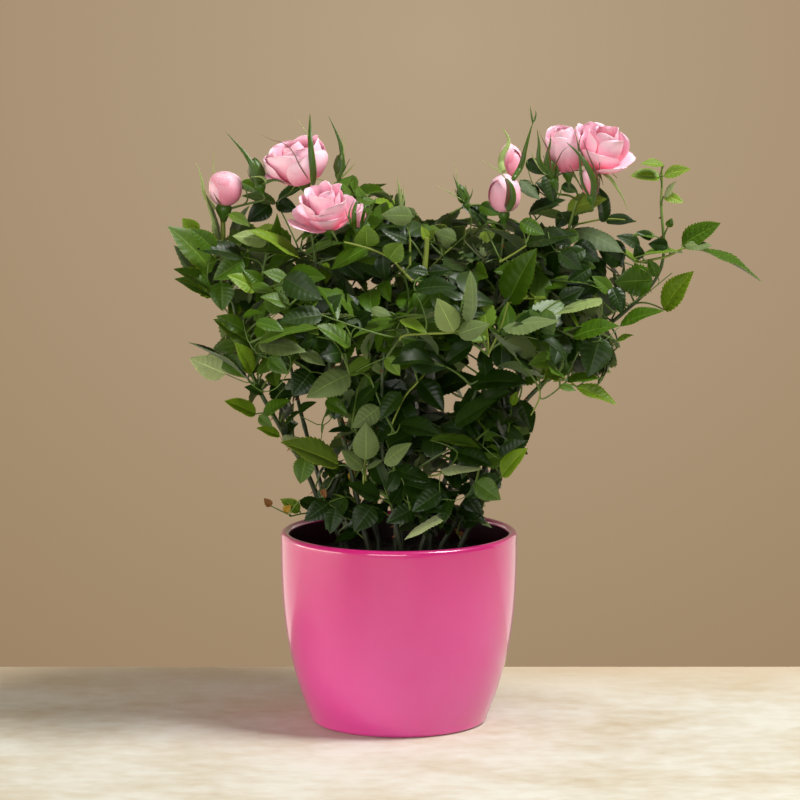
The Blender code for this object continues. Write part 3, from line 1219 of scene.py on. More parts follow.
@dataclass(frozen=True)
class LeafletShape:
    """The shape of every leaflet: an egg-shaped toothed outline, quilted between its veins."""

    rows: int
    stations: tuple[float, ...]
    foot_roundness: float = 0.6
    tip_sharpness: float = 1.05
    tooth_depth: float = 0.12
    tooth_lean: float = 0.5
    vein_slant: float = 0.5
    rows_per_vein: int = 2
    dome: float = 0.3
    quilt: float = 0.022
    ripple: float = 0.06
    least_bend: float = 0.02
    thickness: float = 0.25 * MM

    def facets(self, leaflets: Sequence[Leaflet]) -> Facets:
        """Builds all the leaflets at once.

        The rib is an arc. Rows slant forward from it as the veins do. The half breadth is
        t^a (1-t)^b, scaled to one at its widest, and alternate rows are drawn in as the notches
        between teeth. Each half rises from the rib by the fold, domes up between rib and
        margin, and is quilted between its veins.

        Args:
            leaflets: The leaflets.

        Returns:
            The facets of all the leaflets.
        """
        grid = BladeGrid(self.rows, self.stations, ribbed=True)
        foot = np.array([leaflet.foot for leaflet in leaflets])
        along = unit(np.array([leaflet.along for leaflet in leaflets]))
        face = square_to(np.array([leaflet.face for leaflet in leaflets]), along)
        side = np.cross(face, along)
        forms = np.array([leaflet.form for leaflet in leaflets])
        length, breadth, bend, fold, twist, phase = forms.T[:, :, None, None]
        bend = np.where(np.abs(bend) < self.least_bend, self.least_bend, bend)

        u = grid.stations[None, None, :]
        edge = np.abs(u) ** 6
        teeth = (np.arange(self.rows) % 2 == 0).astype(float)[None, :, None]
        t = grid.along[None, :, None] + edge * teeth * self.tooth_lean / (self.rows + 1)
        t = t + self.vein_slant * np.abs(u) * t * (1 - t)
        a, b = self.foot_roundness, self.tip_sharpness
        widest = a / (a + b)
        outline = (t**a * (1 - t) ** b) / (widest**a * (1 - widest) ** b)
        half = 0.5 * breadth * outline
        out = half * u * (1 - self.tooth_depth * edge * (1 - teeth))
        sweep = bend * t
        far, drop = length * np.sin(sweep) / bend, length * (1 - np.cos(sweep)) / bend

        between = np.abs(u) * (1 - np.abs(u))
        vein = 2 * math.pi * np.arange(self.rows)[None, :, None] / self.rows_per_vein
        quilt = np.cos(vein) * between * 4
        wave = np.sin(2 * math.pi * (1.5 * t + phase) + 1.3 * u) * u**2
        lift = np.abs(out) * np.sin(fold)
        lift = lift + half * (self.dome * between + self.quilt * quilt + self.ripple * wave)
        turn = twist * t
        across = out * np.cos(fold) * np.cos(turn) - lift * np.sin(turn)
        rise = out * np.cos(fold) * np.sin(turn) + lift * np.cos(turn)

        flat = np.broadcast_arrays(far, drop, across, rise, np.sin(sweep), np.cos(sweep))
        far, drop, across, rise, sine, cosine = (part[..., None] for part in flat)
        start, ahead, above, aside = (part[:, None, None] for part in (foot, along, face, side))
        upper = start + ahead * far - above * drop + aside * across
        upper = upper + (ahead * sine + above * cosine) * rise
        length, bend = length[:, 0], bend[:, 0]
        end, fall = length * np.sin(bend) / bend, length * (1 - np.cos(bend)) / bend
        tip = foot + along * end - face * fall
        finish = np.array([leaflet.finish for leaflet in leaflets])
        return grid.facets(upper, foot, tip, self.thickness, finish)


FINE_LEAFLET = LeafletShape(31, (-1, -0.66, -0.33, -0.03, 0.03, 0.33, 0.66, 1), rows_per_vein=4)
PLAIN_LEAFLET = LeafletShape(17, (-1, -0.5, -0.035, 0.035, 0.5, 1))


@dataclass(frozen=True)
class LeafForm:
    """The proportions of every compound leaf, and how far they vary.

    Lengths are shares of the end leaflet's. The pair scales are those of the lower pairs and of
    the last one. Bend and fold are each a mean and a scatter, in radians.
    """

    petiole: float = 0.45
    internode: float = 0.42
    neck: float = 0.2
    girth: float = 0.017
    least_girth: float = 0.1 * MM
    taper: tuple[float, float] = (1.25, 0.8)
    stalk_points: int = 6
    pair_scales: tuple[float, float] = (0.72, 0.88)
    spread_deg: tuple[float, float] = (52, 70)
    sag: float = 0.35
    facing_scatter: float = 0.16
    lengths: tuple[float, float] = (0.93, 1.07)
    breadths: tuple[float, float] = (0.56, 0.7)
    bend: tuple[float, float] = (0.45, 0.3)
    fold: tuple[float, float] = (0.2, 0.15)
    twist_scatter: float = 0.25
    second_colour_share: float = 0.4

    def finish(self, rng: np.random.Generator) -> tuple[int, int, int]:
        """Finishes of a leaflet seen from above, in one of the tone's two colours."""
        return int(rng.uniform() < self.second_colour_share), 2, 3

    def leaf(self, rng: np.random.Generator, foot: Array, toward: Array, face: Array,
             leaflet: float, pairs: int, droop: float) -> tuple[Limb, list[Leaflet]]:
        """One compound leaf: a stalk that arches over, pairs of leaflets and one at its end.

        Args:
            rng: What its variations are drawn from.
            foot: Where the stalk leaves its twig.
            toward: The direction in which the stalk starts.
            face: The direction that the leaf's upper side faces.
            leaflet: Length of the end leaflet.
            pairs: How many pairs of leaflets stand along the stalk.
            droop: The angle by which the stalk arches over, in radians.

        Returns:
            The stalk and the leaflets.
        """
        along = unit(toward)
        normal = square_to(face, along)
        petiole, internode = self.petiole * leaflet, self.internode * leaflet
        total = petiole + internode * (pairs - 1) + self.neck * leaflet

        def on_stalk(share: float) -> tuple[Array, Array, Array]:
            """Place, direction and face at a share of the stalk's length, which is an arc."""
            angle = droop * share + TINY
            sine, cosine = math.sin(angle), math.cos(angle)
            place = foot + total / (droop + TINY) * (along * sine - normal * (1 - cosine))
            return place, along * cosine - normal * sine, along * sine + normal * cosine

        path = np.array([on_stalk(share)[0] for share in np.linspace(0, 1, self.stalk_points)])
        radius = self.girth * leaflet + self.least_girth
        stalk = Limb(path, np.linspace(*self.taper, self.stalk_points) * radius)

        posts = [(1.0, 0.0, 1.0)]
        for pair in range(pairs):
            share = (petiole + internode * pair) / total
            posts += [(share, sign, self.pair_scales[pair == pairs - 1]) for sign in (-1, 1)]
        leaflets = []
        for share, sign, scale in posts:
            place, heading, up = on_stalk(share)
            side = np.cross(up, heading)
            spread = math.radians(rng.uniform(*self.spread_deg))
            aside = side * sign
            out = unit(heading * math.cos(spread) + aside * math.sin(spread)) if sign else heading
            up = up - aside * rng.uniform(0, self.sag) + rng.normal(0, self.facing_scatter, 3)
            length = leaflet * scale * rng.uniform(*self.lengths)
            breadth = length * rng.uniform(*self.breadths)
            bend, fold = rng.normal(*self.bend), abs(rng.normal(*self.fold))
            twist, phase = rng.normal(0, self.twist_scatter), rng.uniform(0, 1)
            finish = self.finish(rng)
            leaflets.append(
                Leaflet(place, out, unit(up), length, breadth, bend, fold, twist, phase, finish)
            )
        return stalk, leaflets


@dataclass(frozen=True)
class Cluster:
    """Listed leaflets that share a tone and the side that they turn to the view.

    Each row is a leaflet: the pixels of its foot and of its tip in the 800 x 800 frame, and the
    breadth that it is seen at, in millimetres. Forward is how far they all stand nearer than the
    foliage behind them, in millimetres.
    """

    tone: Tone
    rows: tuple[tuple[float, ...], ...]
    underside: bool = False
    forward: float = 0.0


@dataclass(frozen=True)
class Stalk:
    """A listed bare stalk: the pixels that it passes, its radius and its depth in mm.

    Without a depth of its own, it lies where the lines of sight meet the foliage.
    """

    pixels: tuple[tuple[float, float], ...]
    radius: float = 0.6
    young: bool = True
    depth: float | None = None


@dataclass(frozen=True)
class Mass:
    """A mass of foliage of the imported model, as the ellipsoid in its box."""

    node: str
    centre: Array
    half: Array

    @classmethod
    def in_frame(cls, node: str) -> Mass:
        """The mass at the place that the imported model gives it."""
        low, high = (np.array(corner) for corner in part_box(node))
        return cls(node, (low + high) / 2, (high - low) / 2)

    def depth_of(self, places: Array) -> Array:
        """How far out places lie: 0 at the centre and 1 on the surface."""
        return np.linalg.norm((places - self.centre) / self.half, axis=-1)

    def met_by(self, start: Array, ray: Array) -> tuple[float, float]:
        """Where a line comes in through the ellipsoid's surface, or passes closest to it.

        Args:
            start: A point of the line.
            ray: The line's direction.

        Returns:
            How far off the line passes, 0 where it meets the mass, and the share of the ray.
        """
        away, slope = (start - self.centre) / self.half, ray / self.half
        closest = -float(away @ slope) / float(slope @ slope)
        miss = float(np.linalg.norm(away + closest * slope))
        if miss >= 1:
            return miss - 1, closest
        return 0.0, closest - math.sqrt(1 - miss**2) / float(np.linalg.norm(slope))

    @property
    def litres(self) -> float:
        """The ellipsoid's volume in litres."""
        return 4 / 3 * math.pi * float(np.prod(self.half)) * 1000


@dataclass(frozen=True)
class Silhouette:
    """The crown as the camera sees it: its outline, and the gaps that the wall shows through.

    The outline's points are pixels of the 800 x 800 frame. A gap is a circle there: the two
    pixel coordinates of its middle and its radius.
    """

    view: View
    outline: tuple[tuple[float, float], ...]
    gaps: tuple[Vector, ...]

    def covers(self, places: Array) -> Array:
        """Whether places are seen inside the outline and outside every gap.

        A place is inside where a line to its right crosses the outline an odd number of times.
        """
        seen = self.view.pixels(places)
        x, y = seen[..., 0, None], seen[..., 1, None]
        start = np.array(self.outline)
        end = np.roll(start, -1, axis=0)
        spans = (start[:, 1] > y) != (end[:, 1] > y)
        rise = np.where(end[:, 1] == start[:, 1], 1, end[:, 1] - start[:, 1])
        crossing = start[:, 0] + (y - start[:, 1]) * (end[:, 0] - start[:, 0]) / rise
        inside = np.sum(spans & (x < crossing), axis=-1) % 2 == 1
        gaps = np.array(self.gaps)
        clear = np.hypot(x - gaps[:, 0], y - gaps[:, 1]) > gaps[:, 2]
        return inside & clear.all(axis=-1)


class Foliage:
    """The compound leaves: where they grow, how they hang, and the pieces they are joined into."""

    form = LeafForm()

    # how many leaves there are, and where in a mass they are tried
    leaves_per_litre = 135.0
    low_share = 1.7
    low_height = 0.185
    mouth_share = 3.2
    mouth_height = 0.142
    flowering_share = 0.12
    place_tries = 14
    hollow = 0.1
    inward = 0.45
    filled = 0.9

    # how far leaves may reach, and how they keep clear of what was placed from the lists
    overshoot = 1.09
    margin = 8 * MM
    lowest = 0.1005
    tries = 22
    least_fitting = 0.6
    hidden_px = 8
    hidden_slack = 4 * MM

    # how a leaf grown by rule stands and how old it looks
    leaflet_sizes = (20 * MM, 30 * MM)
    mouth_scale = 0.72
    pairs = (1, 2, 2, 2)
    mouth_pairs = (1, 1, 2)
    stand = 1.1
    twig_from = 0.6
    viewward = 0.02
    outward_pull = 0.3
    way_scatter = 0.35
    face_up = 0.75
    face_out = 0.6
    face_scatter = 0.4
    droops = (0.2, 0.8)
    ages = {Tone.YOUNG: 1.12, Tone.FRESH: 0.84, Tone.MATURE: 0.42}
    age_foot = 0.12
    age_height = 0.22
    age_radius = 0.13
    left_lighter_greens = 0.9
    age_weights = (0.5, 0.3)
    age_scatter = 0.25

    # how a listed leaflet lies
    natural_breadth = 0.64
    layer = 2.2 * MM
    layer_reach = 9 * MM
    layer_step = 8 * MM
    overlap = 0.3
    depth_jitter = 1.2 * MM
    px_size = 0.5 * MM
    tip_lean = 0.14
    stalk_gap = 1.5 * MM
    stalk_radii = (0.6 * MM, 0.4 * MM)
    look_up = 0.15
    rightward = 0.3
    placed_bend = 0.35
    placed_bend_range = 0.15
    placed_folds = {False: 0.2, True: -0.15}
    placed_twist = 0.12
    clear_at = (0.2, 0.5, 0.8)
    clear_px = (0.8, 3)
    stalk_clear_px = 2.0
    piece_leaflets = 800

    def __init__(self, framework: Framework, silhouette: Silhouette, masses: Sequence[Mass],
                 flowering: Sequence[str], seed: int) -> None:
        """Starts with no leaves.

        Args:
            framework: The limbs that leaves grow from.
            silhouette: The crown's outline and gaps.
            masses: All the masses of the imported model.
            flowering: Nodes of the masses that are mostly flowers, which get fewer leaves.
            seed: Seed of all that is dealt at random.
        """
        self.framework = framework
        self.silhouette = silhouette
        self.view = silhouette.view
        self.masses = list(masses)
        self.leafy = [mass for mass in masses if mass.node not in flowering]
        self.seed = seed
        self.rng = np.random.default_rng(seed)
        self.plain: dict[Tone, list[Leaflet]] = {tone: [] for tone in Tone}
        self.fine: dict[Tone, list[Leaflet]] = {tone: [] for tone in Tone}
        self.stalks: dict[bool, list[Limb]] = {False: [], True: []}
        self.kept_clear = np.zeros((0, 4))
        self.low = np.min([mass.centre - mass.half for mass in masses], axis=0) - self.margin
        self.high = np.max([mass.centre + mass.half for mass in masses], axis=0) + self.margin

    # placed from the lists

    def front_depth(self, pixel: Sequence[float]) -> float:
        """The depth at which the line of sight through a pixel meets the leafy masses first."""
        far = self.view.spot(pixel, 0.0)
        start = self.view.eye
        met = [mass.met_by(start, far - start) for mass in self.leafy]
        least = min(miss for miss, _ in met)
        share = min(share for miss, share in met if miss <= least)
        return float((start + (far - start) * share)[1])

    def keep_clear(self, place: Array, radius_px: float) -> None:
        """Keeps grown leaflets from hiding a place from the view."""
        row = np.array([*self.view.pixels(place[None])[0], place[1], radius_px])
        self.kept_clear = np.vstack([self.kept_clear, row])

    def place_stalk(self, stalk: Stalk) -> None:
        """Adds a bare stalk, grown on from the nearest limb."""
        if stalk.depth is None:
            depth = float(np.mean([self.front_depth(pixel) for pixel in stalk.pixels])) + self.layer
        else:
            depth = stalk.depth * MM
        path = np.array([self.view.spot(pixel, depth) for pixel in stalk.pixels])
        self.framework.grow(path[0], stalk.radius * 1.2 * MM, stalk.radius * 1.05 * MM)
        self.framework.lay(spline_through(path, 4 * MM), stalk.radius * MM, stalk.young)
        for place in path:
            self.keep_clear(place, self.stalk_clear_px)

    def _layered(self, middle_px: Array, span_px: float, depth: float) -> float:
        """A depth, moved one layer in front of what was placed before and would be overlapped."""
        x, y, laid, radius = self.kept_clear.T
        gap = np.hypot(x - middle_px[0], y - middle_px[1])
        over = (gap < self.overlap * span_px + radius) & (np.abs(laid - depth) < self.layer_reach)
        if not over.any():
            return depth
        return max(laid[over].min() - self.layer, depth - self.layer_step)

    def place_cluster(self, cluster: Cluster) -> None:
        """Adds listed leaflets, each on a stalk from the nearest limb.

        A leaflet lies where the line of sight meets the masses, one layer in front of those
        placed before it that it overlaps. One that is seen narrower than a leaflet naturally
        is, is turned about its rib until it looks that narrow.
        """
        rng, view, framework = self.rng, self.view, self.framework
        for row in cluster.rows:
            foot_px, tip_px, seen = np.array(row[:2]), np.array(row[2:4]), row[4] * MM
            middle_px = (foot_px + tip_px) / 2
            depth = self.front_depth(middle_px) - cluster.forward * MM
            depth += rng.normal(0, self.depth_jitter)
            span_px = float(np.linalg.norm(tip_px - foot_px))
            depth = self._layered(middle_px, span_px, depth)
            lean = self.px_size * span_px * self.tip_lean
            foot, tip = view.spot(foot_px, depth + lean), view.spot(tip_px, depth - lean)
            if np.linalg.norm(framework.points[framework.nearest(foot)] - foot) > self.stalk_gap:
                framework.grow(foot, *self.stalk_radii)
            span = float(np.linalg.norm(tip - foot))
            chord = (tip - foot) / span
            natural = max(seen, self.natural_breadth * span)
            roll = math.acos(seen / natural)
            toward = square_to(TO_VIEW + self.look_up * UP, chord)
            faces = [turned(toward, chord, sign * roll) for sign in (-1, 1)]
            face = max(faces, key=lambda way: way[2] + self.rightward * way[0])
            bend = self.placed_bend + rng.uniform(-self.placed_bend_range, self.placed_bend_range)
            hinge = np.cross(face, chord)
            along, face = (turned(way, hinge, -bend / 2) for way in (chord, face))
            length = span * (bend / 2) / math.sin(bend / 2)
            finish = (2, 0, 4) if cluster.underside else self.form.finish(rng)
            fold = self.placed_folds[cluster.underside]
            twist, phase = rng.normal(0, self.placed_twist), rng.uniform(0, 1)
            self.fine[cluster.tone].append(
                Leaflet(foot, along, face, length, natural, bend, fold, twist, phase, finish)
            )
            share, least = self.clear_px
            for at in self.clear_at:
                self.keep_clear(foot + chord * span * at, row[4] * share + least)

    # grown by rule

    def fits(self, leaflets: Sequence[Leaflet]) -> Array:
        """Which leaflets stay in the masses, in the silhouette and off those placed from the lists."""
        points = np.array([leaflet.marks() for leaflet in leaflets])
        depth = np.min([mass.depth_of(points[:, 0]) for mass in self.masses], axis=0)
        good = (depth < self.overshoot) & (points[:, :, 2].min(axis=1) > self.lowest)
        good &= ((points > self.low) & (points < self.high)).all(axis=(1, 2))
        good &= self.silhouette.covers(points).all(axis=1)
        seen = self.view.pixels(points[:, 0])
        x, y, depth, radius = self.kept_clear.T
        nearer = points[:, 0, 1, None] < depth + self.hidden_slack
        over = np.hypot(seen[:, :1] - x, seen[:, 1:] - y) < radius + self.hidden_px
        return good & ~(over & nearer).any(axis=1)

    def _seed_places(self, mass: Mass, count: int) -> Array:
        """Places for leaves in a mass, each the one of several tries that is least crowded."""
        chosen: list[Array] = []
        tried = self.place_tries
        while len(chosen) < count:
            ways = unit(self.rng.normal(0, 1, (tried, 3)))
            tries = ways * self.rng.uniform(self.hollow, 1, (tried, 1)) ** self.inward
            tries = mass.centre + tries * mass.half * self.filled
            best = 0
            if chosen:
                gaps = np.linalg.norm(tries[:, None] - np.array(chosen)[None], axis=2)
                best = int(np.argmax(gaps.min(axis=1)))
            chosen.append(tries[best])
        return np.array(chosen)

    def fill(self) -> None:
        """Fills the masses with leaves by the branching rule.

        Places are taken in order of their distance from the canes. Each leaf starts from the
        nearest limb, on a new twig where that is far, and points outwards from the limb. Each
        draws its own random numbers, so that a change to one leaves the others alone.
        """
        self.rng = np.random.default_rng(self.seed)
        places = []
        for mass in self.masses:
            share = 1.0 if mass in self.leafy else self.flowering_share
            low = self.mouth_share if mass.centre[2] < self.mouth_height else self.low_share
            share *= low if mass.centre[2] < self.low_height else 1.0
            count = max(2, round(mass.litres * self.leaves_per_litre * share))
            places.append(self._seed_places(mass, count))
        targets = np.concatenate(places)
        near = [np.linalg.norm(self.framework.points - target, axis=1).min() for target in targets]
        for index in np.argsort(near):
            self.rng = np.random.default_rng((self.seed, int(index)))
            self._grow_leaf(targets[index])

    def _tone_at(self, target: Array) -> Tone:
        """Older, darker leaves low and inside, partly as painted shade; fresher ones high and outside,
        and lighter greens to the left; dealt at random.
        """
        height = (target[2] - self.age_foot) / self.age_height
        spread = np.linalg.norm(target[:2]) + self.left_lighter_greens * max(0.0, -target[0])
        up, out = self.age_weights
        age = up * height + out * (spread / self.age_radius) + self.rng.normal(0, self.age_scatter)
        return next((tone for tone, least in self.ages.items() if age > least), Tone.OLD)

    def _grow_leaf(self, target: Array) -> None:
        """Grows one leaf at a target, if enough of it fits."""
        rng = self.rng
        small = target[2] < self.mouth_height
        leaflet = rng.uniform(*self.leaflet_sizes) * (self.mouth_scale if small else 1.0)
        pairs = int(rng.choice(self.mouth_pairs if small else self.pairs))
        stand = self.stand * leaflet
        start = self.framework.points[self.framework.nearest(target)]
        gap = target - start
        reach = float(np.linalg.norm(gap)) - stand
        far = reach > self.twig_from * stand
        foot = start + unit(gap) * reach if far else start
        outward = unit(target * (1 - UP) + TO_VIEW * self.viewward)
        for _ in range(self.tries):
            toward = unit(target - foot + TINY) + outward * self.outward_pull
            toward = toward + rng.normal(0, self.way_scatter, 3)
            face = UP * self.face_up + outward * self.face_out
            face = unit(face + rng.normal(0, self.face_scatter, 3))
            droop = rng.uniform(*self.droops)
            stalk, leaflets = self.form.leaf(rng, foot, unit(toward), face, leaflet, pairs, droop)
            fits = self.fits(leaflets)
            if fits[0] and fits.sum() >= self.least_fitting * len(fits):
                if far:
                    self.framework.grow(foot)
                tone = self._tone_at(target)
                self.plain[tone] += [leaf for leaf, good in zip(leaflets, fits) if good]
                self.stalks[tone in (Tone.YOUNG, Tone.FRESH)].append(stalk)
                return

    def make(self, nodes: Sequence[str]) -> None:
        """Builds the leaves in pieces of one tone, and their stalks in two.

        Args:
            nodes: The masses that the leaves stand for.
        """
        replaced = nodes
        size = self.piece_leaflets
        for tone in Tone:
            plain = self.plain[tone]
            jobs = [(FINE_LEAFLET, self.fine[tone])] if self.fine[tone] else []
            jobs += [
                (PLAIN_LEAFLET, plain[start : start + size]) for start in range(0, len(plain), size)
            ]
            LOG.info("%s leaflets: %d", tone.value, sum(len(leaflets) for _, leaflets in jobs))
            finishes = LEAF_FINISHES[tone].materials(tone)
            for number, (shape, leaflets) in enumerate(jobs, 1):
                name = f"leaves_{tone.value}_{number}"
                Piece(name, "leaf", finishes, [shape.facets(leaflets)], replaces=replaced).make()
                replaced = ()
        for young, limbs in self.stalks.items():
            finish = STALK_FINISHES[young]
            name = f"leaf_{finish.name}s"
            Piece(name, "leaf", [finish.material()], [limb_tubes(limbs, 5)]).make()


# --- flowers --------------------------------------------------------------------------------


@dataclass(frozen=True)
class Whorl:
    """A ring of petals: how many, how large, and how they lean out from the flower's axis.

    Lengths are in millimetres. The lean is given at the foot, the middle and the rim. The first
    petal stands at an angle from the side that faces the view, and the rest follow at steps.
    """

    petals: int
    length: float
    breadth: float
    lean_deg: Vector
    # deep pink share at the foot and at the rim: part own colour, part painted shade in the cup and
    # painted light on the lip
    shade: tuple[float, float] = (0.8, 0.1)
    first_deg: float = 0.0
    hug: float = 1.05
    roll: float = 0.05
    ruffle: float = 0.04
    start: float = 2.0
    lift: float = 0.0
    spiral: float = 0.0
    lip_deg: float = 20.0
    foot_narrowing: float = 0.5
    step_deg: float | None = None


LEFT_CUP = (
    Whorl(1, 21, 22, (84, 52, 48), (0.3, 0.0), -80, 1.3, 0.08, 0.05, 2.6, 0.0, 0.0, 26),
    Whorl(3, 28.5, 38, (90, 39, -18), (0.6, 0.0), 32, 1.02, 0.03, 0.04, 2.6, 0.0, 0.0, 18),
    Whorl(3, 27.5, 35, (82, 28, -22), (0.7, 0.0), -34, 1.02, 0.02, 0.04, 2.3, 0.3, 0.0, 24),
    Whorl(3, 26, 28, (68, 17, -24), (0.9, 0.0), 10, 1.0, 0.02, 0.04, 1.9, 0.6, 0.06, 24),
    Whorl(3, 24.5, 20, (52, 6, -28), (1.0, 0.2), 70, 1.0, 0.0, 0.03, 1.5, 0.9, 0.14, 16),
)
OPEN_ROSE = (
    Whorl(1, 22, 27, (82, 60, 44), (0.1, 0.0), -62, 1.3, 0.06, 0.05, 2.6, -0.2, 0.0, 20),
    Whorl(3, 19.5, 25, (84, 60, 42), (0.5, 0.0), 124, 1.15, 0.05, 0.05, 2.4, 0.0, 0.0, 24, step_deg=56),
    Whorl(1, 24, 26, (82, 48, 26), (0.5, 0.0), 66, 1.12, 0.05, 0.05, 2.4, 0.0, 0.0, 18),
    Whorl(1, 16, 31, (82, 30, 14), (0.8, 0.0), 6, 1.08, 0.02, 0.04, 2.6, 0.2, 0.0, 60),
    Whorl(1, 20, 29, (72, 22, 8), (0.75, 0.0), -16, 1.06, 0.02, 0.04, 2.0, 0.4, 0.0, 54),
    Whorl(3, 23.5, 27, (68, 22, 2), (0.6, 0.0), 40, 1.04, 0.03, 0.05, 1.9, 0.6, 0.04, 40),
    Whorl(3, 25, 23, (54, 10, -10), (0.6, 0.0), -20, 1.0, 0.02, 0.05, 1.6, 0.8, 0.1, 34),
    Whorl(3, 25, 17, (42, 2, -16), (0.7, 0.05), 30, 1.0, 0.0, 0.04, 1.3, 1.1, 0.2, 24),
)
GOBLET_ROSE = (
    Whorl(3, 27, 34, (86, 21, -14), (0.85, 0.05), 50, 1.02, 0.03, 0.03, 2.2, 0.0, 0.0, 18),
    Whorl(3, 29, 31, (76, 13, -20), (0.7, 0.0), -24, 1.0, 0.02, 0.03, 2.0, 0.3, 0.0, 20),
    Whorl(3, 29, 24, (60, 4, -26), (0.8, 0.1), 14, 1.0, 0.0, 0.03, 1.6, 0.6, 0.1, 14),
    Whorl(3, 27, 16, (42, -2, -22), (0.95, 0.2), 60, 1.0, 0.0, 0.03, 1.2, 0.9, 0.2, 10),
)
RIGHT_ROSE = (
    Whorl(1, 18, 32, (88, 56, 32), (1.0, 0.1), 52, 1.15, 0.04, 0.05, 2.6, -0.4, 0.0, 16),
    Whorl(1, 21, 24, (82, 44, 30), (0.1, 0.0), 108, 1.2, 0.06, 0.05, 2.4, 0.0, 0.0, 24),
    Whorl(3, 27, 31, (80, 30, -8), (0.5, 0.0), 150, 1.08, 0.03, 0.04, 2.3, 0.0, 0.0, 20, step_deg=60),
    Whorl(1, 20, 33, (82, 32, 6), (0.9, 0.0), -8, 1.06, 0.03, 0.04, 2.6, 0.2, 0.0, 48),
    Whorl(3, 26, 27, (66, 16, -12), (0.6, 0.0), 44, 1.03, 0.02, 0.04, 1.9, 0.5, 0.05, 28),
    Whorl(3, 26, 19, (50, 4, -22), (0.9, 0.1), 0, 1.0, 0.0, 0.04, 1.5, 0.9, 0.14, 18),
)
PLUMP_BUD = (
    Whorl(3, 26.3, 25, (66, -4, -70), (0.5, 0.05), 52, 1.0, 0.0, 0.0, 2.2, 0.0, 0.06, 0, 0.3),
    Whorl(3, 24.8, 22, (58, -4, -65), (0.6, 0.15), -8, 1.0, 0.0, 0.0, 2.0, 0.2, 0.08, 0, 0.3),
    Whorl(3, 21.6, 17, (50, -2, -55), (1.0, 0.6), 40, 1.0, 0.0, 0.0, 1.5, 0.5, 0.2, 0, 0.3),
)
ROUND_BUD = (
    Whorl(1, 26.4, 26, (72, 3, -80), (0.75, 0.0), 44, 1.0, 0.0, 0.0, 2.5, -0.1, 0.08, 0, 0.3),
    Whorl(3, 25.9, 25, (66, 0, -80), (0.25, 0.0), -78, 1.0, 0.0, 0.0, 2.2, 0.0, 0.06, 0, 0.3),
    Whorl(3, 23.9, 22, (62, 0, -78), (0.9, 0.3), -20, 1.0, 0.0, 0.0, 2.0, 0.2, 0.08, 0, 0.3),
    Whorl(3, 21.4, 18, (54, 0, -65), (1.0, 0.6), 40, 1.0, 0.0, 0.0, 1.5, 0.5, 0.2, 0, 0.3),
)
POINTED_BUD = (
    Whorl(3, 21.8, 19, (54, -4, -55), (0.7, 0.1), 30, 1.0, 0.0, 0.0, 1.6, 0.0, 0.1, 0, 0.35),
    Whorl(3, 20.3, 15, (42, -2, -50), (0.9, 0.4), 80, 1.0, 0.0, 0.0, 1.3, 0.3, 0.16, 0, 0.35),
)
GREEN_BUD = (
    Whorl(3, 17.2, 12, (50, -8, -45), (0.5, 0.5), 0, 1.0, 0.0, 0.0, 1.6, 0.0, 0.0, 0),
    Whorl(3, 16.6, 12, (46, -6, -45), (0.5, 0.5), 60, 1.0, 0.0, 0.0, 1.5, 0.1, 0.0, 0),
)


@dataclass(frozen=True)
class Sepals:
    """The five narrow sepals round a flower's foot, each drawn out into a long thin tail."""

    length: float
    breadth: float
    lean_deg: Vector


@dataclass(frozen=True)
class Bloom:
    """A flower or a bud: where its foot is seen, which way it looks and how it is made up."""

    name: str
    foot_px: tuple[float, float]
    depth: float
    axis: Vector
    whorls: tuple[Whorl, ...]
    sepals: Sepals
    scale: float = 1.0
    turn: float = 0.0
    hip: float = 2.6
    stem: float = 1.1
    clear_px: float = 12.0


@dataclass(frozen=True)
class Ribbon:
    """A listed long sepal: points of its middle line, its breadth in mm and its finish.

    Each point is a pixel of the 800 x 800 frame and a depth in mm, measured from the pot's axis.
    """

    points: tuple[Vector, ...]
    breadth: float
    finish: int = 1
    taper: float = 1.4


class Outline(Enum):
    """The outline of a blade: a broad petal, a pointed scale, or a sepal with a tail."""

    PETAL = "petal"
    SCALE = "scale"
    SEPAL = "sepal"


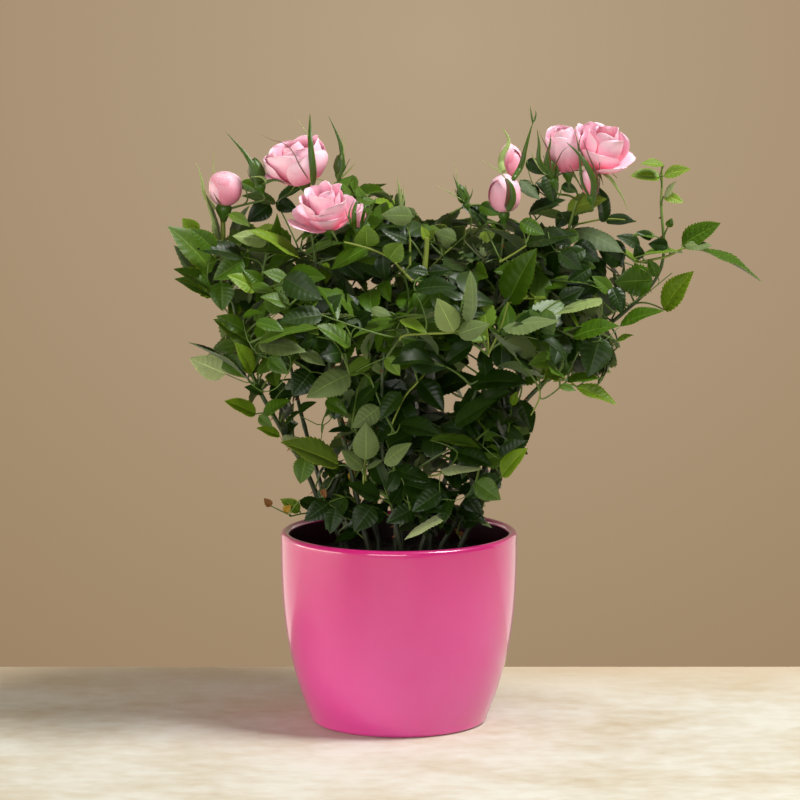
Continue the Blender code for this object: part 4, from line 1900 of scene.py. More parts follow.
class FlowerMaker:
    """Builds flowers and buds petal by petal, with hips, sepals and stalks."""

    petal_rows = 13
    petal_stations = tuple(np.linspace(-1, 1, 11))
    petal_thickness = 0.35 * MM
    petal_jitter_deg = (2.0, 3.0, 5.0)
    lip_start = 0.82
    sepal_rows = 22
    sepal_stations = (-1, -0.4, 0.4, 1)
    sepal_thickness = 0.3 * MM
    sepal_jitter_deg = (10.0, 10.0, 10.0)
    sepal_turn = 0.4
    sepal_reach_px = 4.0
    sepal_gap = 1.0 * MM
    sepal_count = 5
    angle_scatter = 0.06
    hip_narrowing = 0.6
    calyx_sink = 0.5 * MM
    ribbon_rows = 24
    ribbon_step_px = 2.0
    line_points = 80
    least_distance = 0.8 * MM
    widest_wrap = 2.6
    hip_stretch = 2.1
    hip_points = 12
    smoothing = 5

    def __init__(self, framework: Framework, view: View, seed: int) -> None:
        """Starts with the finishes that all flowers share."""
        self.framework = framework
        self.view = view
        self.rng = np.random.default_rng(seed)
        self.laid: list[Array] = []
        petals = (
            PetalFinish("petal_inside", srgb(255, 207, 226), srgb(242, 92, 126)),
            PetalFinish("petal_outside", srgb(255, 207, 224), srgb(248, 106, 138)),
        )
        greens = (
            PlainFinish("sepal_inside", (112, 136, 72), 0.6, 0.2),
            PlainFinish("sepal_outside", (56, 84, 16), 0.4, 0.15),
            PlainFinish("hip_green", (64, 98, 24), 0.4, 0.1),
            PlainFinish("sepal_brown", (92, 60, 40), 0.5, 0.1),
            PlainFinish("sepal_pale", (136, 154, 88), 0.55, 0.2),
        )
        self.petal_finishes = [finish.material() for finish in petals]
        self.green_finishes = [finish.material() for finish in greens]

    def ring(self, axis: Array, foot: Array, angles: Array, whorl: Whorl, scale: float,
             outline: Outline) -> tuple[Array, Facets]:
        """A ring of petals or sepals.

        The middle line starts at the axis and leans out by an angle that eases from the foot
        through the middle to the rim. Across, the blade is an arc whose radius is its distance
        from the axis times the hug, with its corners rolled back and its rim ruffled.

        Args:
            axis: The flower's unit axis.
            foot: Where the ring stands.
            angles: The angle of each blade round the axis.
            whorl: The ring's sizes, in millimetres and degrees.
            scale: Scale for the whole flower.
            outline: The blades' outline.

        Returns:
            The points of the blades' upper sides, and the facets.
        """
        rng = self.rng
        count = len(angles)
        sepal = outline is Outline.SEPAL
        rows, stations = self.petal_rows, self.petal_stations
        if sepal:
            rows, stations = self.sepal_rows, self.sepal_stations
        grid = BladeGrid(rows, stations)
        axes = np.broadcast_to(axis, (count, 3))
        radial = turned(np.broadcast_to(square_to(TO_VIEW, axis), (count, 3)), axes, angles)
        around = np.cross(axis, radial)

        fine = np.linspace(0, 1, self.line_points)
        jitter = rng.normal(0, 1, (count, 3))
        jitter = jitter * (self.sepal_jitter_deg if sepal else self.petal_jitter_deg)
        first, second, third = np.radians(np.array(whorl.lean_deg) + jitter).T[:, :, None]
        lean = first + (second - first) * smooth_step(0, 0.5, fine)
        lean = lean + (third - second) * smooth_step(0.5, 1, fine)
        if not sepal:
            lean = lean + math.radians(whorl.lip_deg) * smooth_step(self.lip_start, 1.0, fine)
        start, lift = whorl.start * MM * scale, whorl.lift * MM * scale
        length = whorl.length * MM * scale * rng.uniform(0.95, 1.05, (count, 1))
        step = 1 / (len(fine) - 1)
        out = start + length * (np.cumsum(np.sin(lean), 1) - np.sin(lean[:, :1])) * step
        up = lift + length * (np.cumsum(np.cos(lean), 1) - np.cos(lean[:, :1])) * step
        s = grid.along if sepal else np.sin(0.5 * math.pi * grid.along)
        out_s, up_s = (
            np.array([np.interp(s, fine, line) for line in lines])[:, :, None] for lines in (out, up)
        )

        u = grid.stations[None, None, :]
        t = s[None, :, None]
        if outline is Outline.PETAL:
            breadth = t**whorl.foot_narrowing * np.sqrt(np.maximum(1 - t**7, 0))
        elif outline is Outline.SCALE:
            breadth = 1.7 * t**0.4 * np.maximum(1 - t, 0) ** 0.75
        else:
            feather = 1 + 0.5 * np.abs(u) ** 4 * np.sin(40 * t) * smooth_step(0.25, 0.6, t)
            breadth = t**0.2 * ((1 - t) ** 1.5 + 0.07 * (1 - t)) * feather
        half = 0.5 * whorl.breadth * MM * scale * breadth
        curve = np.maximum(out_s, self.least_distance * scale) * whorl.hug
        curve = np.maximum(curve, 0.3 * half)
        arc = np.clip(u * half / curve, -self.widest_wrap, self.widest_wrap)
        phase = rng.uniform(0, 2 * math.pi, (count, 1, 1))
        roll = whorl.roll * np.abs(u) ** 3 * t**2 + whorl.ruffle * t**4 * np.sin(4.2 * u + phase)
        reach = out_s * (1 + whorl.spiral * u) - curve * (1 - np.cos(arc)) + roll * half.max()
        points = (
            foot
            + radial[:, None, None] * reach[..., None]
            + around[:, None, None] * (curve * np.sin(arc))[..., None]
            + axis * np.broadcast_to(up_s, reach.shape)[..., None]
        )
        feet = foot + radial * start + axis * lift
        tips = foot + radial * out[:, -1:] + axis * up[:, -1:]
        finish = np.tile([0, 1, 0], (count, 1))
        if sepal:
            return points, grid.facets(points, feet, tips, self.sepal_thickness, finish)
        # painted shade and light: deep pink low in the cup, pale towards the lit lip, over the petals'
        # own pink
        deep, pale = whorl.shade
        shade = deep + (pale - deep) * smooth_step(0.35, 0.95, t)
        shade = np.broadcast_to(shade, points.shape[:3])
        return points, grid.facets(points, feet, tips, self.petal_thickness, finish, shade)

    def make(self, bloom: Bloom) -> Array:
        """Builds one flower: petals in one piece, hip and sepals in another.

        Args:
            bloom: The flower.

        Returns:
            The place of its middle.
        """
        foot = self.view.spot(bloom.foot_px, bloom.depth * MM)
        axis = unit(np.array(bloom.axis, dtype=float))
        hip_length = self.hip_stretch * bloom.hip * MM
        stem = bloom.stem * MM
        self.framework.grow(foot - axis * hip_length, 1.2 * stem, stem, arrive=axis)

        green = bloom.whorls is GREEN_BUD
        outline = Outline.SCALE if green else Outline.PETAL
        petals = []
        for whorl in bloom.whorls:
            step = whorl.step_deg or 360 / whorl.petals
            angles = np.radians(whorl.first_deg + np.arange(whorl.petals) * step) + bloom.turn
            angles = angles + self.rng.normal(0, self.angle_scatter, whorl.petals)
            points, facets = self.ring(axis, foot, angles, whorl, bloom.scale, outline)
            petals.append(facets)
            places = points.reshape(-1, 3)
            self.laid.append(np.column_stack([self.view.pixels(places), places[:, 1]]))
        slot, finishes = ("leaf", self.green_finishes) if green else ("petal", self.petal_finishes)
        Piece(f"{bloom.name}_petals", slot, finishes, petals, crease_deg=70).make()

        sepals, count = bloom.sepals, self.sepal_count
        start = self.hip_narrowing * bloom.hip
        ring = Whorl(count, sepals.length, sepals.breadth, sepals.lean_deg, hug=1.0, start=start)
        angles = bloom.turn + self.sepal_turn + np.arange(count) * 2 * math.pi / count
        sunk = foot - axis * self.calyx_sink
        _, blades = self.ring(axis, sunk, angles, ring, 1.0, Outline.SEPAL)
        greens = [self._hip(foot, axis, bloom.hip, hip_length), blades]
        Piece(f"{bloom.name}_calyx", "leaf", self.green_finishes, greens, crease_deg=60).make()
        longest = max(whorl.length for whorl in bloom.whorls)
        return foot + axis * 0.5 * longest * bloom.scale * MM

    def make_ribbons(self, ribbons: Sequence[Ribbon]) -> None:
        """Builds the listed long sepals in one piece: narrow blades drawn out to a tail."""
        grid = BladeGrid(self.ribbon_rows, self.sepal_stations)
        t, u = grid.along[:, None], grid.stations[None, :]
        blades = []
        for ribbon in ribbons:
            trail = spline_through(np.array(ribbon.points, dtype=float), self.ribbon_step_px)
            depths = self._before_petals(trail[:, :2], trail[:, 2] * MM)
            line = np.array([self.view.spot(pixel, depth) for pixel, depth in zip(trail, depths)])
            path = resampled(line, grid.along)
            forward = unit(np.gradient(path, axis=0))
            side = unit(np.cross(TO_VIEW + 0.2 * UP, forward))
            up = np.cross(forward, side)
            half = 0.5 * ribbon.breadth * MM * (t**0.4 * (1 - t) ** ribbon.taper * 1.7 + 0.05)
            upper = path[:, None] + side[:, None] * (half * u)[..., None]
            upper = upper - up[:, None] * (half * 0.5 * u**2)[..., None]
            finish = np.array([[ribbon.finish, 0, 0]])
            blades.append(
                grid.facets(upper[None], line[:1], line[-1:], self.sepal_thickness, finish)
            )
        Piece("long_sepals", "leaf", self.green_finishes, blades, crease_deg=60).make()

    def _before_petals(self, pixels: Array, depths: Array) -> Array:
        """Depths moved forward where petals would hide a line that runs in front of a flower."""
        laid = np.concatenate(self.laid)
        clear = depths.copy()
        for number, (pixel, depth) in enumerate(zip(pixels, depths)):
            near = laid[np.hypot(*(laid[:, :2] - pixel).T) < self.sepal_reach_px, 2]
            if len(near) and depth < np.median(near):
                clear[number] = min(depth, near.min() - self.sepal_gap)
        for gather in (np.min, np.mean):
            padded = np.pad(clear, self.smoothing // 2, mode="edge")
            windows = [padded[start : start + len(depths)] for start in range(self.smoothing)]
            clear = gather(windows, axis=0)
        return clear

    def _hip(self, foot: Array, axis: Array, radius: float, length: float) -> Facets:
        """The green hip under the petals: a tube that swells and narrows again."""
        share = np.linspace(0, 1, self.hip_points)
        path = foot - axis * length * (1 - share[:, None]) + axis * 0.4 * MM
        swell = 0.4 + 0.6 * smooth_step(0, 0.75, share) - 0.15 * smooth_step(0.8, 1, share)
        return tubes(path[None], (swell * radius * MM)[None], 14, finish=2)


# --- stage ----------------------------------------------------------------------------------


@dataclass(frozen=True)
class Softbox:
    """A rectangular area light."""

    name: str
    place: Vector
    aim: Vector
    size: tuple[float, float]
    power: float
    colour: Vector

    def add(self) -> None:
        """Puts the light in the scene, its face towards the aim."""
        light = bpy.data.lights.new(self.name, "AREA")
        light.shape = "RECTANGLE"
        light.size, light.size_y = self.size
        light.energy = self.power
        light.color = self.colour
        holder = put(self.name, light)
        holder.location = self.place
        direction = unit(np.array(self.aim) - np.array(self.place))
        yaw = math.atan2(-direction[0], direction[1])
        tilt = math.acos(float(np.clip(-direction[2], -1, 1)))
        holder.rotation_euler = (tilt, 0, yaw)


@dataclass(frozen=True)
class Studio:
    """The pale stone top, the warm wall colour with painted light on it, and the softboxes."""

    top_size: tuple[float, float] = (2.4, 0.86)
    back_edge: float = 0.139
    top_thickness: float = 0.03
    wall_painted_light: Vector = srgb(182, 161, 132)
    wall_painted_shade: Vector = srgb(157, 131, 102)
    painted_light_way: Vector = (0.01, 0.9985, -0.055)
    painted_light_fade: float = 4.9
    fill: Vector = (0.05, 0.04, 0.022)
    back_fill: Vector = (0.34, 0.27, 0.185)
    lights: tuple[Softbox, ...] = (
        Softbox("key", (0.85, -0.3, 1.62), (0, 0, 0.15), (0.5, 0.5), 38, (1.0, 0.99, 0.95)),
        Softbox("front", (-0.3, -1.5, 0.45), (0, 0, 0.26), (1.0, 0.6), 11, (1.0, 0.99, 0.97)),
        Softbox("top", (0, 0.1, 1.6), (0, 0, 0.2), (1.2, 1.2), 3, (1.0, 1.0, 0.97)),
        Softbox("left_strip", (-1.2, -0.1, 0.14), (0, 0, 0.15), (1.4, 0.26), 9, (1.0, 0.92, 0.78)),
        Softbox("left_rim", (-0.95, 0.8, 0.1), (0, 0, 0.1), (1.2, 1.0), 3.2, (1.0, 0.92, 0.82)),
        Softbox("right_rim", (0.95, 0.8, 0.1), (0, 0, 0.1), (1.2, 1.0), 3.2, (1.0, 0.92, 0.84)),
    )

    def make(self) -> None:
        """Builds the stage."""
        self._add_top()
        self._set_world()
        for light in self.lights:
            light.add()
        bpy.context.scene.view_settings.view_transform = "Standard"

    def _add_top(self) -> None:
        """The stone top: a slab whose upper face is at zero."""
        width, length = self.top_size
        x = np.array([-0.5, 0.5]) * width
        y = np.array([self.back_edge - length, self.back_edge])
        z = np.array([-self.top_thickness, 0.0])
        corners = [(x[i], y[j], z[k]) for i, j, k in np.ndindex(2, 2, 2)]
        faces = [(0, 1, 3, 2), (4, 6, 7, 5), (0, 4, 5, 1), (2, 3, 7, 6), (0, 2, 6, 4), (1, 5, 7, 3)]
        mesh = bpy.data.meshes.new("stone_top")
        mesh.from_pydata(corners, [], faces)
        mesh.materials.append(FloorFinish().material())
        top = put("stone_top", mesh)

    def _set_world(self) -> None:
        """The wall's colour behind the bush, with painted light that fades away from one direction, and
        a paler fill light from all round.
        """
        world = bpy.data.worlds.new("studio")
        world.use_nodes = True
        bpy.context.scene.world = world
        world.node_tree.nodes.clear()
        graph = Graph(world.node_tree)
        way = graph.place("Generated")
        measure = {"operation": "DISTANCE"}
        # painted light: the wall is lightest towards one direction and darker away from it
        away = graph.number("ShaderNodeVectorMath", measure, {0: way, 1: self.painted_light_way}, "Value")
        wall = graph.blend(away * self.painted_light_fade, self.wall_painted_light, self.wall_painted_shade)
        fill = graph.blend(graph.along("Y", way), self.fill, self.back_fill)
        lit, seen = (
            graph.node("ShaderNodeBackground", {}, {"Color": colour}).outputs[0]
            for colour in (fill, wall)
        )
        to_camera = graph.node("ShaderNodeLightPath", {}, {}).outputs["Is Camera Ray"]
        both = graph.node("ShaderNodeMixShader", {}, {0: to_camera, 1: lit, 2: seen}).outputs[0]
        graph.node("ShaderNodeOutputWorld", {}, {0: both})


# --- the bush -------------------------------------------------------------------------------

FLOWERING = ("bud_left", "flowers_left", "bud_right", "flowers_right")

CROWN_OUTLINE = (
    (205, 228), (218, 215), (232, 222), (246, 206), (270, 190), (276, 180), (300, 184), (318, 176),
    (333, 168), (345, 160), (358, 178), (375, 180), (392, 180), (398, 200), (416, 206), (420, 222),
    (436, 222), (445, 215), (460, 203), (478, 200), (497, 205), (512, 214), (522, 196), (540, 185),
    (556, 176), (575, 186), (590, 196), (606, 200), (606, 214), (636, 219), (640, 232), (655, 236),
    (680, 240), (690, 246), (680, 256), (664, 262), (652, 282), (640, 296), (626, 304), (620, 314),
    (600, 318), (620, 326), (617, 345), (612, 375), (590, 378), (575, 392), (560, 392), (545, 380),
    (535, 386), (530, 400), (533, 432), (528, 460), (504, 476), (501, 500), (489, 516), (486, 524),
    (400, 545), (305, 540), (300, 515), (306, 500), (318, 490), (312, 470), (296, 460), (283, 448),
    (280, 435), (258, 430), (262, 420), (240, 412), (228, 404), (250, 388), (240, 378), (215, 378),
    (195, 368), (205, 352), (215, 340), (212, 320), (238, 318), (215, 308), (210, 292), (180, 288),
    (176, 272), (210, 268), (176, 262), (170, 245), (176, 228),
)  # fmt: skip

GAPS = (
    (399, 278, 8), (434, 279, 5), (446, 279, 5), (360, 287, 5), (373, 286, 5), (347, 352, 6),
    (364, 349, 4), (474, 357, 5), (474, 368, 5), (509, 359, 4), (509, 369, 4), (506, 316, 4),
    (523, 337, 4), (243, 292, 6), (266, 316, 7), (278, 320, 7), (263, 366, 6), (264, 375, 5),
    (322, 408, 7), (322, 420, 7), (322, 432, 7), (453, 434, 4), (449, 458, 7), (290, 235, 9),
    (570, 195, 6), (275, 262, 6), (290, 268, 5), (300, 412, 9), (314, 421, 9), (341, 423, 8),
    (333, 439, 8), (281, 381, 6), (272, 391, 6), (293, 368, 4), (318, 345, 6), (386, 380, 5),
    (446, 434, 5), (386, 348, 4),
)  # fmt: skip

STALKS = (
    Stalk(((223, 262), (223, 240), (223, 222)), 1.7, True, -12),
    Stalk(((412, 281), (390, 258), (367, 248), (344, 242)), 0.7),
    Stalk(((424, 275), (426, 255), (427, 238)), 1.6),
    Stalk(((400, 340), (406, 335), (455, 332), (472, 322)), 0.7),
    Stalk(((372, 490), (366, 480), (365, 458)), 0.8),
    Stalk(((395, 433), (382, 408), (370, 377)), 0.6, False),
    Stalk(((392, 424), (404, 398), (418, 382)), 0.6),
    Stalk(((363, 490), (364, 470), (366, 450)), 0.6),
    Stalk(((395, 470), (430, 476), (441, 473)), 0.6),
    Stalk(((640, 262), (668, 256), (684, 248), (700, 250)), 0.7),
    Stalk(((600, 320), (640, 298), (672, 273)), 0.35, False),
    Stalk(((488, 355), (500, 330), (508, 303)), 0.7),
    Stalk(((578, 224), (606, 219), (636, 221)), 0.6),
    Stalk(((500, 262), (512, 255), (526, 246)), 0.7),
    Stalk(((262, 285), (264, 265), (268, 250)), 1.0, False),
    Stalk(((540, 390), (539, 400), (531, 415)), 0.5),
    Stalk(((430, 268), (442, 256), (456, 244)), 0.6),
    Stalk(((410, 265), (410, 250), (410, 238)), 0.7),
    Stalk(((661, 202), (662, 184), (662, 166)), 0.7, True, 0),
    Stalk(((292, 516), (281, 511), (271, 506)), 0.4, False),
    Stalk(((341, 404), (324, 425), (302, 417)), 0.35, False),
    Stalk(((324, 425), (321, 440), (327, 452)), 0.3, False),
)

CLUSTERS = (
    Cluster(
        Tone.OLD,
        (
            (284, 278, 323, 300, 17), (322, 315, 279, 322, 13), (248, 380, 188, 342, 3),
            (311, 372, 292, 396, 17), (270, 204, 247, 222, 13), (276, 202, 298, 210, 10),
            (244, 257, 196, 249, 10), (278, 200, 310, 184, 7), (668, 246, 648, 244, 9),
            (604, 222, 598, 186, 9), (612, 240, 622, 268, 12), (600, 337, 588, 377, 20),
            (612, 287, 622, 315, 10), (556, 200, 535, 182, 9), (540, 192, 520, 190, 8),
            (530, 212, 560, 205, 9), (487, 222, 461, 205, 9), (527, 160, 545, 175, 9),
            (562, 185, 578, 192, 7), (606, 221, 636, 222, 8), (526, 245, 578, 235, 11),
            (415, 290, 458, 288, 10), (428, 272, 409, 270, 6), (428, 272, 450, 270, 8),
            (470, 385, 528, 383, 13), (432, 392, 480, 378, 14), (455, 425, 497, 400, 12),
            (407, 514, 386, 520, 7), (466, 496, 482, 518, 10), (500, 458, 528, 440, 12),
            (520, 400, 532, 433, 9), (410, 241, 381, 230, 9), (263, 393, 244, 387, 6),
            (298, 412, 317, 402, 5), (299, 411, 285, 427, 3), (352, 430, 328, 432, 3),
            (384, 512, 347, 527, 13), (404, 484, 450, 500, 15), (410, 502, 452, 513, 11),
            (380, 498, 346, 484, 11), (300, 500, 330, 516, 9), (346, 497, 326, 530, 11),
            (500, 478, 466, 498, 14), (357, 533, 334, 543, 6), (395, 470, 432, 483, 10),
            (452, 500, 440, 530, 8), (400, 424, 442, 436, 12), (420, 380, 444, 412, 14),
            (290, 368, 268, 356, 9), (340, 396, 334, 420, 12), (414, 508, 386, 523, 12),
            (372, 506, 354, 532, 16), (330, 502, 304, 521, 13), (458, 510, 487, 524, 8),
            (336, 508, 330, 534, 11), (440, 492, 412, 512, 12), (476, 440, 462, 480, 12),
            (458, 452, 492, 466, 11), (400, 392, 380, 420, 11),
        ),
    ),
    Cluster(
        Tone.MATURE,
        (
            (212, 296, 174, 279, 8), (243, 260, 213, 280, 14), (262, 284, 243, 270, 8),
            (256, 322, 285, 332, 8), (268, 358, 288, 374, 10), (252, 287, 275, 293, 7),
            (652, 280, 614, 282, 20), (208, 266, 167, 226, 17), (574, 262, 596, 268, 10),
            (611, 292, 592, 276, 9), (657, 276, 648, 259, 8), (215, 250, 190, 228, 12),
            (211, 289, 173, 269, 8), (222, 282, 222, 311, 15), (288, 281, 262, 272, 8),
            (290, 305, 260, 297, 8), (243, 316, 264, 313, 5), (252, 345, 213, 319, 12),
            (243, 330, 216, 316, 10), (350, 346, 314, 325, 10), (235, 345, 214, 350, 9),
            (268, 250, 277, 213, 7), (290, 252, 247, 250, 9), (241, 182, 262, 194, 8),
            (300, 258, 346, 243, 6), (259, 342, 318, 328, 9), (222, 355, 245, 378, 12),
            (276, 203, 241, 196, 8), (668, 227, 672, 218, 5), (682, 245, 721, 223, 13),
            (655, 236, 632, 236, 5), (578, 232, 560, 244, 9), (573, 337, 620, 326, 11),
            (567, 381, 600, 379, 6), (560, 386, 576, 391, 5), (600, 288, 548, 280, 6),
            (508, 303, 537, 248, 19), (573, 220, 535, 214, 5), (520, 222, 545, 235, 10),
            (480, 205, 500, 215, 9), (700, 250, 762, 282, 8), (620, 326, 664, 311, 7),
            (368, 247, 331, 270, 12), (430, 440, 482, 449, 6), (476, 482, 501, 500, 14),
            (400, 321, 352, 338, 8), (263, 414, 291, 400, 8), (259, 416, 273, 428, 7),
            (306, 458, 300, 484, 13), (326, 400, 348, 415, 9),
        ),
    ),
    Cluster(
        Tone.MATURE,
        (
            (259, 344, 307, 352, 11), (300, 349, 326, 366, 8), (350, 374, 306, 398, 16),
            # (413, 216) to (381, 215) and (414, 217) to (404, 207): the pale underside colour is a
            # painted sheen on these leaflets
            (685, 245, 712, 246, 6), (503, 328, 560, 321, 9), (413, 216, 381, 215, 12),
            (414, 217, 404, 207, 7), (471, 322, 470, 270, 9), (458, 334, 490, 324, 12),
            (371, 309, 392, 316, 7), (456, 240, 434, 232, 11), (363, 468, 341, 450, 10),
            (366, 468, 384, 460, 3), (384, 463, 412, 443, 10), (430, 472, 418, 451, 6),
            (413, 469, 421, 456, 3), (480, 520, 492, 528, 3), (379, 407, 352, 428, 13),
            (366, 460, 366, 422, 16), (372, 360, 385, 376, 7),
        ),
        underside=True,
    ),
    Cluster(
        Tone.FRESH,
        (
            (220, 240, 204, 192, 5), (268, 240, 232, 236, 11), (602, 299, 552, 316, 8),
            (454, 332, 437, 298, 15),
        ),
        underside=True,
    ),
    Cluster(
        Tone.FRESH,
        (
            (197, 233, 182, 218, 10), (256, 290, 227, 275, 10), (252, 373, 234, 342, 8),
            (229, 214, 250, 227, 7), (372, 360, 344, 377, 10), (256, 414, 224, 401, 9),
            (280, 436, 256, 428, 6), (300, 511, 280, 499, 8), (300, 259, 248, 230, 6),
            (660, 177, 630, 176, 8), (664, 310, 694, 271, 13), (617, 341, 634, 335, 4),
            (577, 387, 617, 405, 9), (682, 253, 634, 258, 5), (367, 247, 366, 224, 15),
            (389, 259, 402, 242, 14), (387, 357, 400, 376, 9), (400, 320, 428, 335, 6),
            (502, 476, 528, 448, 10), (512, 405, 518, 391, 5),
        ),
    ),
    Cluster(
        Tone.YOUNG,
        (
            (664, 165, 640, 164, 5), (664, 176, 691, 169, 7), (664, 196, 684, 203, 7),
            (339, 465, 280, 442, 15), (487, 231, 487, 243, 9), (427, 240, 421, 226, 5),
            (427, 240, 436, 228, 5),
        ),
    ),
    Cluster(
        Tone.YOUNG,
        (
            (226, 374, 189, 358, 15), (664, 197, 676, 181, 4), (441, 470, 483, 469, 6),
            (445, 513, 404, 540, 5),
        ),
        underside=True,
    ),
    Cluster(Tone.YOUNG, ((567, 211, 607, 199, 12),), forward=9),
    Cluster(
        Tone.OLD,
        (
            (548, 174, 553, 203, 11), (529, 213, 566, 200, 9), (622, 262, 598, 250, 12),
            (640, 259, 636, 243, 7), (585, 250, 560, 262, 10), (606, 276, 580, 258, 10),
            (560, 300, 585, 288, 10), (596, 240, 566, 232, 9), (640, 246, 616, 236, 8),
            (574, 244, 600, 262, 13), (590, 268, 566, 284, 11), (560, 252, 582, 270, 11),
            (566, 214, 556, 228, 9), (652, 238, 636, 232, 6), (578, 222, 560, 212, 8),
            (548, 232, 572, 244, 10), (596, 284, 574, 300, 10),
        ),
    ),
    Cluster(Tone.OLD, ((576, 230, 624, 253, 13), (520, 180, 540, 200, 8)), underside=True),
    Cluster(
        Tone.DRY,
        (
            (350, 480, 355, 469, 4), (322, 489, 326, 498, 4), (456, 532, 468, 540, 3),
            (271, 506, 264, 498, 5), (284, 512, 291, 505, 5),
        ),
    ),
)  # fmt: skip

TALL = Sepals(22, 4.0, (42, 4, 14))
SHORT = Sepals(14, 4.0, (44, 0, 12))
TINY_SEPALS = Sepals(11, 3.2, (36, -2, 6))
FOLDED_BACK = Sepals(12, 3.6, (88, 110, 118))

BLOOMS = (
    Bloom("left_cup", (303, 180), -14, (-0.28, -0.25, 0.93),
          LEFT_CUP, FOLDED_BACK, 1.0, 0.0, 4.0, 1.5, 34),
    Bloom("left_rose", (328, 226), -28, (-0.12, -0.4, 0.9),
          OPEN_ROSE, FOLDED_BACK, 1.0, 0.0, 4.0, 1.5, 32),
    Bloom("left_bud", (224, 205), -12, (0.04, -0.1, 1),
          ROUND_BUD, TINY_SEPALS, 1.0, 0.0, 4.6, 1.9, 18),
    Bloom("left_small_bud", (358, 228), -30, (0.02, -0.1, 1), POINTED_BUD, SHORT, 0.72, 0.4, 2.4),
    Bloom("left_green_bud", (260, 184), -16, (-0.25, -0.1, 1),
          GREEN_BUD, TINY_SEPALS, 0.95, 0.4, 3.0),
    Bloom("left_high_bud", (339, 173), -20, (0.08, -0.1, 1), GREEN_BUD, TINY_SEPALS, 0.7, 1.0, 2.4),
    Bloom("middle_bud", (401, 208), -20, (-0.15, -0.1, 1), GREEN_BUD, TINY_SEPALS, 0.55, 0.6, 1.8),
    Bloom("hairy_bud", (466, 203), -20, (-0.42, -0.1, 1), GREEN_BUD, TINY_SEPALS, 0.7, 0.1, 2.0),
    Bloom("right_rose", (597, 168), -12, (0.24, -0.3, 0.9),
          RIGHT_ROSE, FOLDED_BACK, 0.98, 0.0, 3.6, 1.5, 28),
    Bloom("right_cup", (568, 170), -8, (-0.08, -0.2, 0.97),
          GOBLET_ROSE, FOLDED_BACK, 0.94, 0.0, 3.6, 1.5, 26),
    Bloom("right_plump_bud", (504, 212), -20, (0.0, -0.1, 1),
          PLUMP_BUD, TINY_SEPALS, 1.02, 0.4, 3.4, 1.5, 18),
    Bloom("right_pointed_bud", (511, 179), -6, (-0.04, 0, 1), POINTED_BUD, SHORT, 1.04, 0.0, 2.8),
    Bloom("right_green_bud", (553, 178), -18, (-0.3, -0.1, 1),
          GREEN_BUD, SHORT, 0.8, 0.5, 3.0, 1.2),
    Bloom("right_front_bud", (591, 195), -22, (-0.12, -0.15, 1),
          POINTED_BUD, TALL, 0.86, 0.9, 2.8, 1.1),
)  # fmt: skip

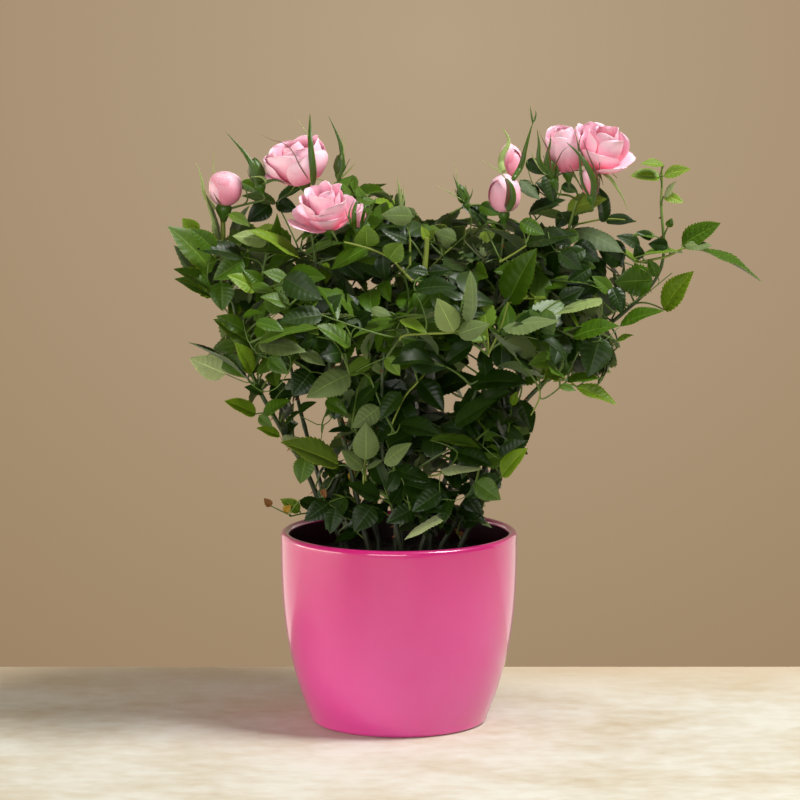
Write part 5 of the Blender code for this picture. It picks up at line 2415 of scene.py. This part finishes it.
RIBBONS = tuple(
    Ribbon(points, *rest)
    for points, *rest in (
        (((313, 187, -19), (313, 170, -34), (311, 150, -35), (310, 131, -30),
          (310, 113, -26)), 5.0, 1, 1.0),
        (((309, 180, -20), (300, 166, -34), (293, 152, -36), (283, 143, -33),
          (272, 140, -28), (258, 133, -22)), 1.0, 3),
        (((310, 150, -34), (306, 132, -30), (294, 115, -26)), 0.7, 4),
        (((216, 210, -14), (205, 196, -16), (202, 182, -16), (199, 170, -14),
          (196, 163, -12)), 3.4, 4),
        (((217, 180, -2), (213, 165, 0), (215, 147, 0)), 1.0, 4),
        (((222, 206, -21), (217, 199, -23), (213, 192, -23)), 1.6, 3),
        (((257, 186, -18), (254, 170, -20), (249, 160, -20), (242, 150, -18),
          (225, 131, -14)), 4.6),
        (((268, 184, -20), (262, 177, -24), (250, 177, -26)), 2.2, 4),
        (((262, 184, -20), (274, 180, -24), (288, 184, -26)), 2.6),
        (((339, 178, -21), (342, 163, -24), (341, 147, -23), (336, 132, -21),
          (328, 115, -18)), 4.0),
        (((341, 160, -23), (342, 146, -22), (343, 130, -20)), 0.9, 4),
        (((342, 160, -23), (344, 146, -22), (346, 133, -20)), 0.8, 4),
        (((341, 178, -21), (348, 171, -24), (356, 162, -26)), 1.8, 4),
        (((355, 230, -33), (354, 214, -38), (357, 202, -36), (367, 190, -32)), 3.8),
        (((360, 230, -33), (364, 212, -36), (367, 199, -34), (372, 188, -31)), 2.8),
        (((362, 230, -33), (369, 214, -34), (377, 196, -31)), 2.8),
        (((353, 230, -33), (349, 214, -35), (355, 198, -33)), 1.8),
        (((510, 180, -9), (502, 168, -14), (502, 156, -14), (509, 141, -10),
          (502, 127, -8)), 5.0, 4, 1.1),
        (((512, 181, -9), (521, 166, -16), (525, 150, -17), (530, 132, -14), (534, 119, -12)), 4.6),
        (((533, 124, -13), (531, 112, -12), (530, 105, -12)), 1.6),
        (((534, 122, -13), (536, 114, -12), (535, 109, -12)), 1.4),
        (((507, 212, -23), (512, 200, -31), (511, 188, -32), (506, 178, -30)), 5.0, 1, 0.6),
        (((505, 208, -24), (508, 197, -32), (508, 186, -33), (505, 178, -30)), 2.4, 3, 0.6),
        (((506, 179, -30), (500, 172, -28), (492, 167, -26), (482, 160, -22)), 1.2, 4),
        (((548, 175, -20), (539, 160, -24), (539, 144, -23), (537, 128, -20)), 4.4),
        (((550, 175, -20), (547, 158, -25), (550, 144, -24), (551, 133, -22)), 3.8),
        (((547, 175, -20), (536, 162, -22), (530, 150, -20)), 2.4, 4),
        (((551, 170, -22), (549, 152, -26), (543, 140, -25), (539, 131, -23)), 1.6, 3),
        (((552, 172, -22), (562, 152, -32), (569, 146, -34)), 1.2, 3),
        (((590, 198, -24), (582, 182, -28), (580, 162, -28), (577, 140, -24),
          (573, 127, -22)), 2.4),
        (((592, 198, -24), (594, 182, -30), (586, 164, -31), (577, 152, -28),
          (566, 142, -24)), 5.0, 1, 1.2),
        (((590, 176, -29), (583, 156, -30), (579, 144, -29), (585, 125, -26)), 1.8, 3),
        (((598, 194, -25), (597, 176, -30), (589, 156, -30), (582, 137, -27)), 1.8, 3),
        (((602, 173, -14), (610, 178, -20), (617, 188, -20), (623, 198, -18),
          (628, 212, -16)), 2.6, 4),
        (((401, 208, -22), (400, 194, -24), (397, 176, -22)), 3.2, 4),
        (((402, 206, -22), (404, 196, -23), (403, 184, -21)), 1.6, 4),
        (((465, 203, -22), (459, 190, -25), (453, 174, -22)), 3.0),
        (((464, 202, -22), (458, 184, -24), (455, 160, -22)), 1.0, 4),
        (((462, 200, -22), (449, 192, -24), (436, 185, -22)), 1.0, 4),
        (((466, 203, -22), (471, 196, -24), (473, 188, -22)), 1.6),
    )
)  # fmt: skip


def main() -> None:
    """Builds the bush, piece by piece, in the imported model's frame."""
    logging.basicConfig(level=logging.INFO, format="%(name)s: %(message)s")
    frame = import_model()
    nodes = list(frame["nodes"])
    cane_nodes = [name for name in nodes if name.startswith(("cane", "bough"))]
    mass_nodes = [name for name in nodes if name not in ("pot", "root_ball") and name not in cane_nodes]

    view = View()
    view.add_camera()
    Studio().make()

    pot = Pot.in_frame()
    pot.make()
    soil_level = float(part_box("root_ball")[1][2])
    Soil(pot, soil_level).make()

    framework = Framework(soil_level - 2 * MM)
    masses = [Mass.in_frame(name) for name in mass_nodes]
    foliage = Foliage(framework, Silhouette(view, CROWN_OUTLINE, GAPS), masses, FLOWERING, seed=23)
    for stalk in STALKS:
        foliage.place_stalk(stalk)
    flowers = FlowerMaker(framework, view, seed=3)
    for bloom in BLOOMS:
        middle = flowers.make(bloom)
        foliage.keep_clear(middle, bloom.clear_px)
    flowers.make_ribbons(RIBBONS)
    for cluster in CLUSTERS:
        foliage.place_cluster(cluster)
    foliage.fill()
    foliage.make(mass_nodes)
    make_twigs(framework)
    CaneBark().make(framework, cane_nodes)


if __name__ == "__main__":
    main()
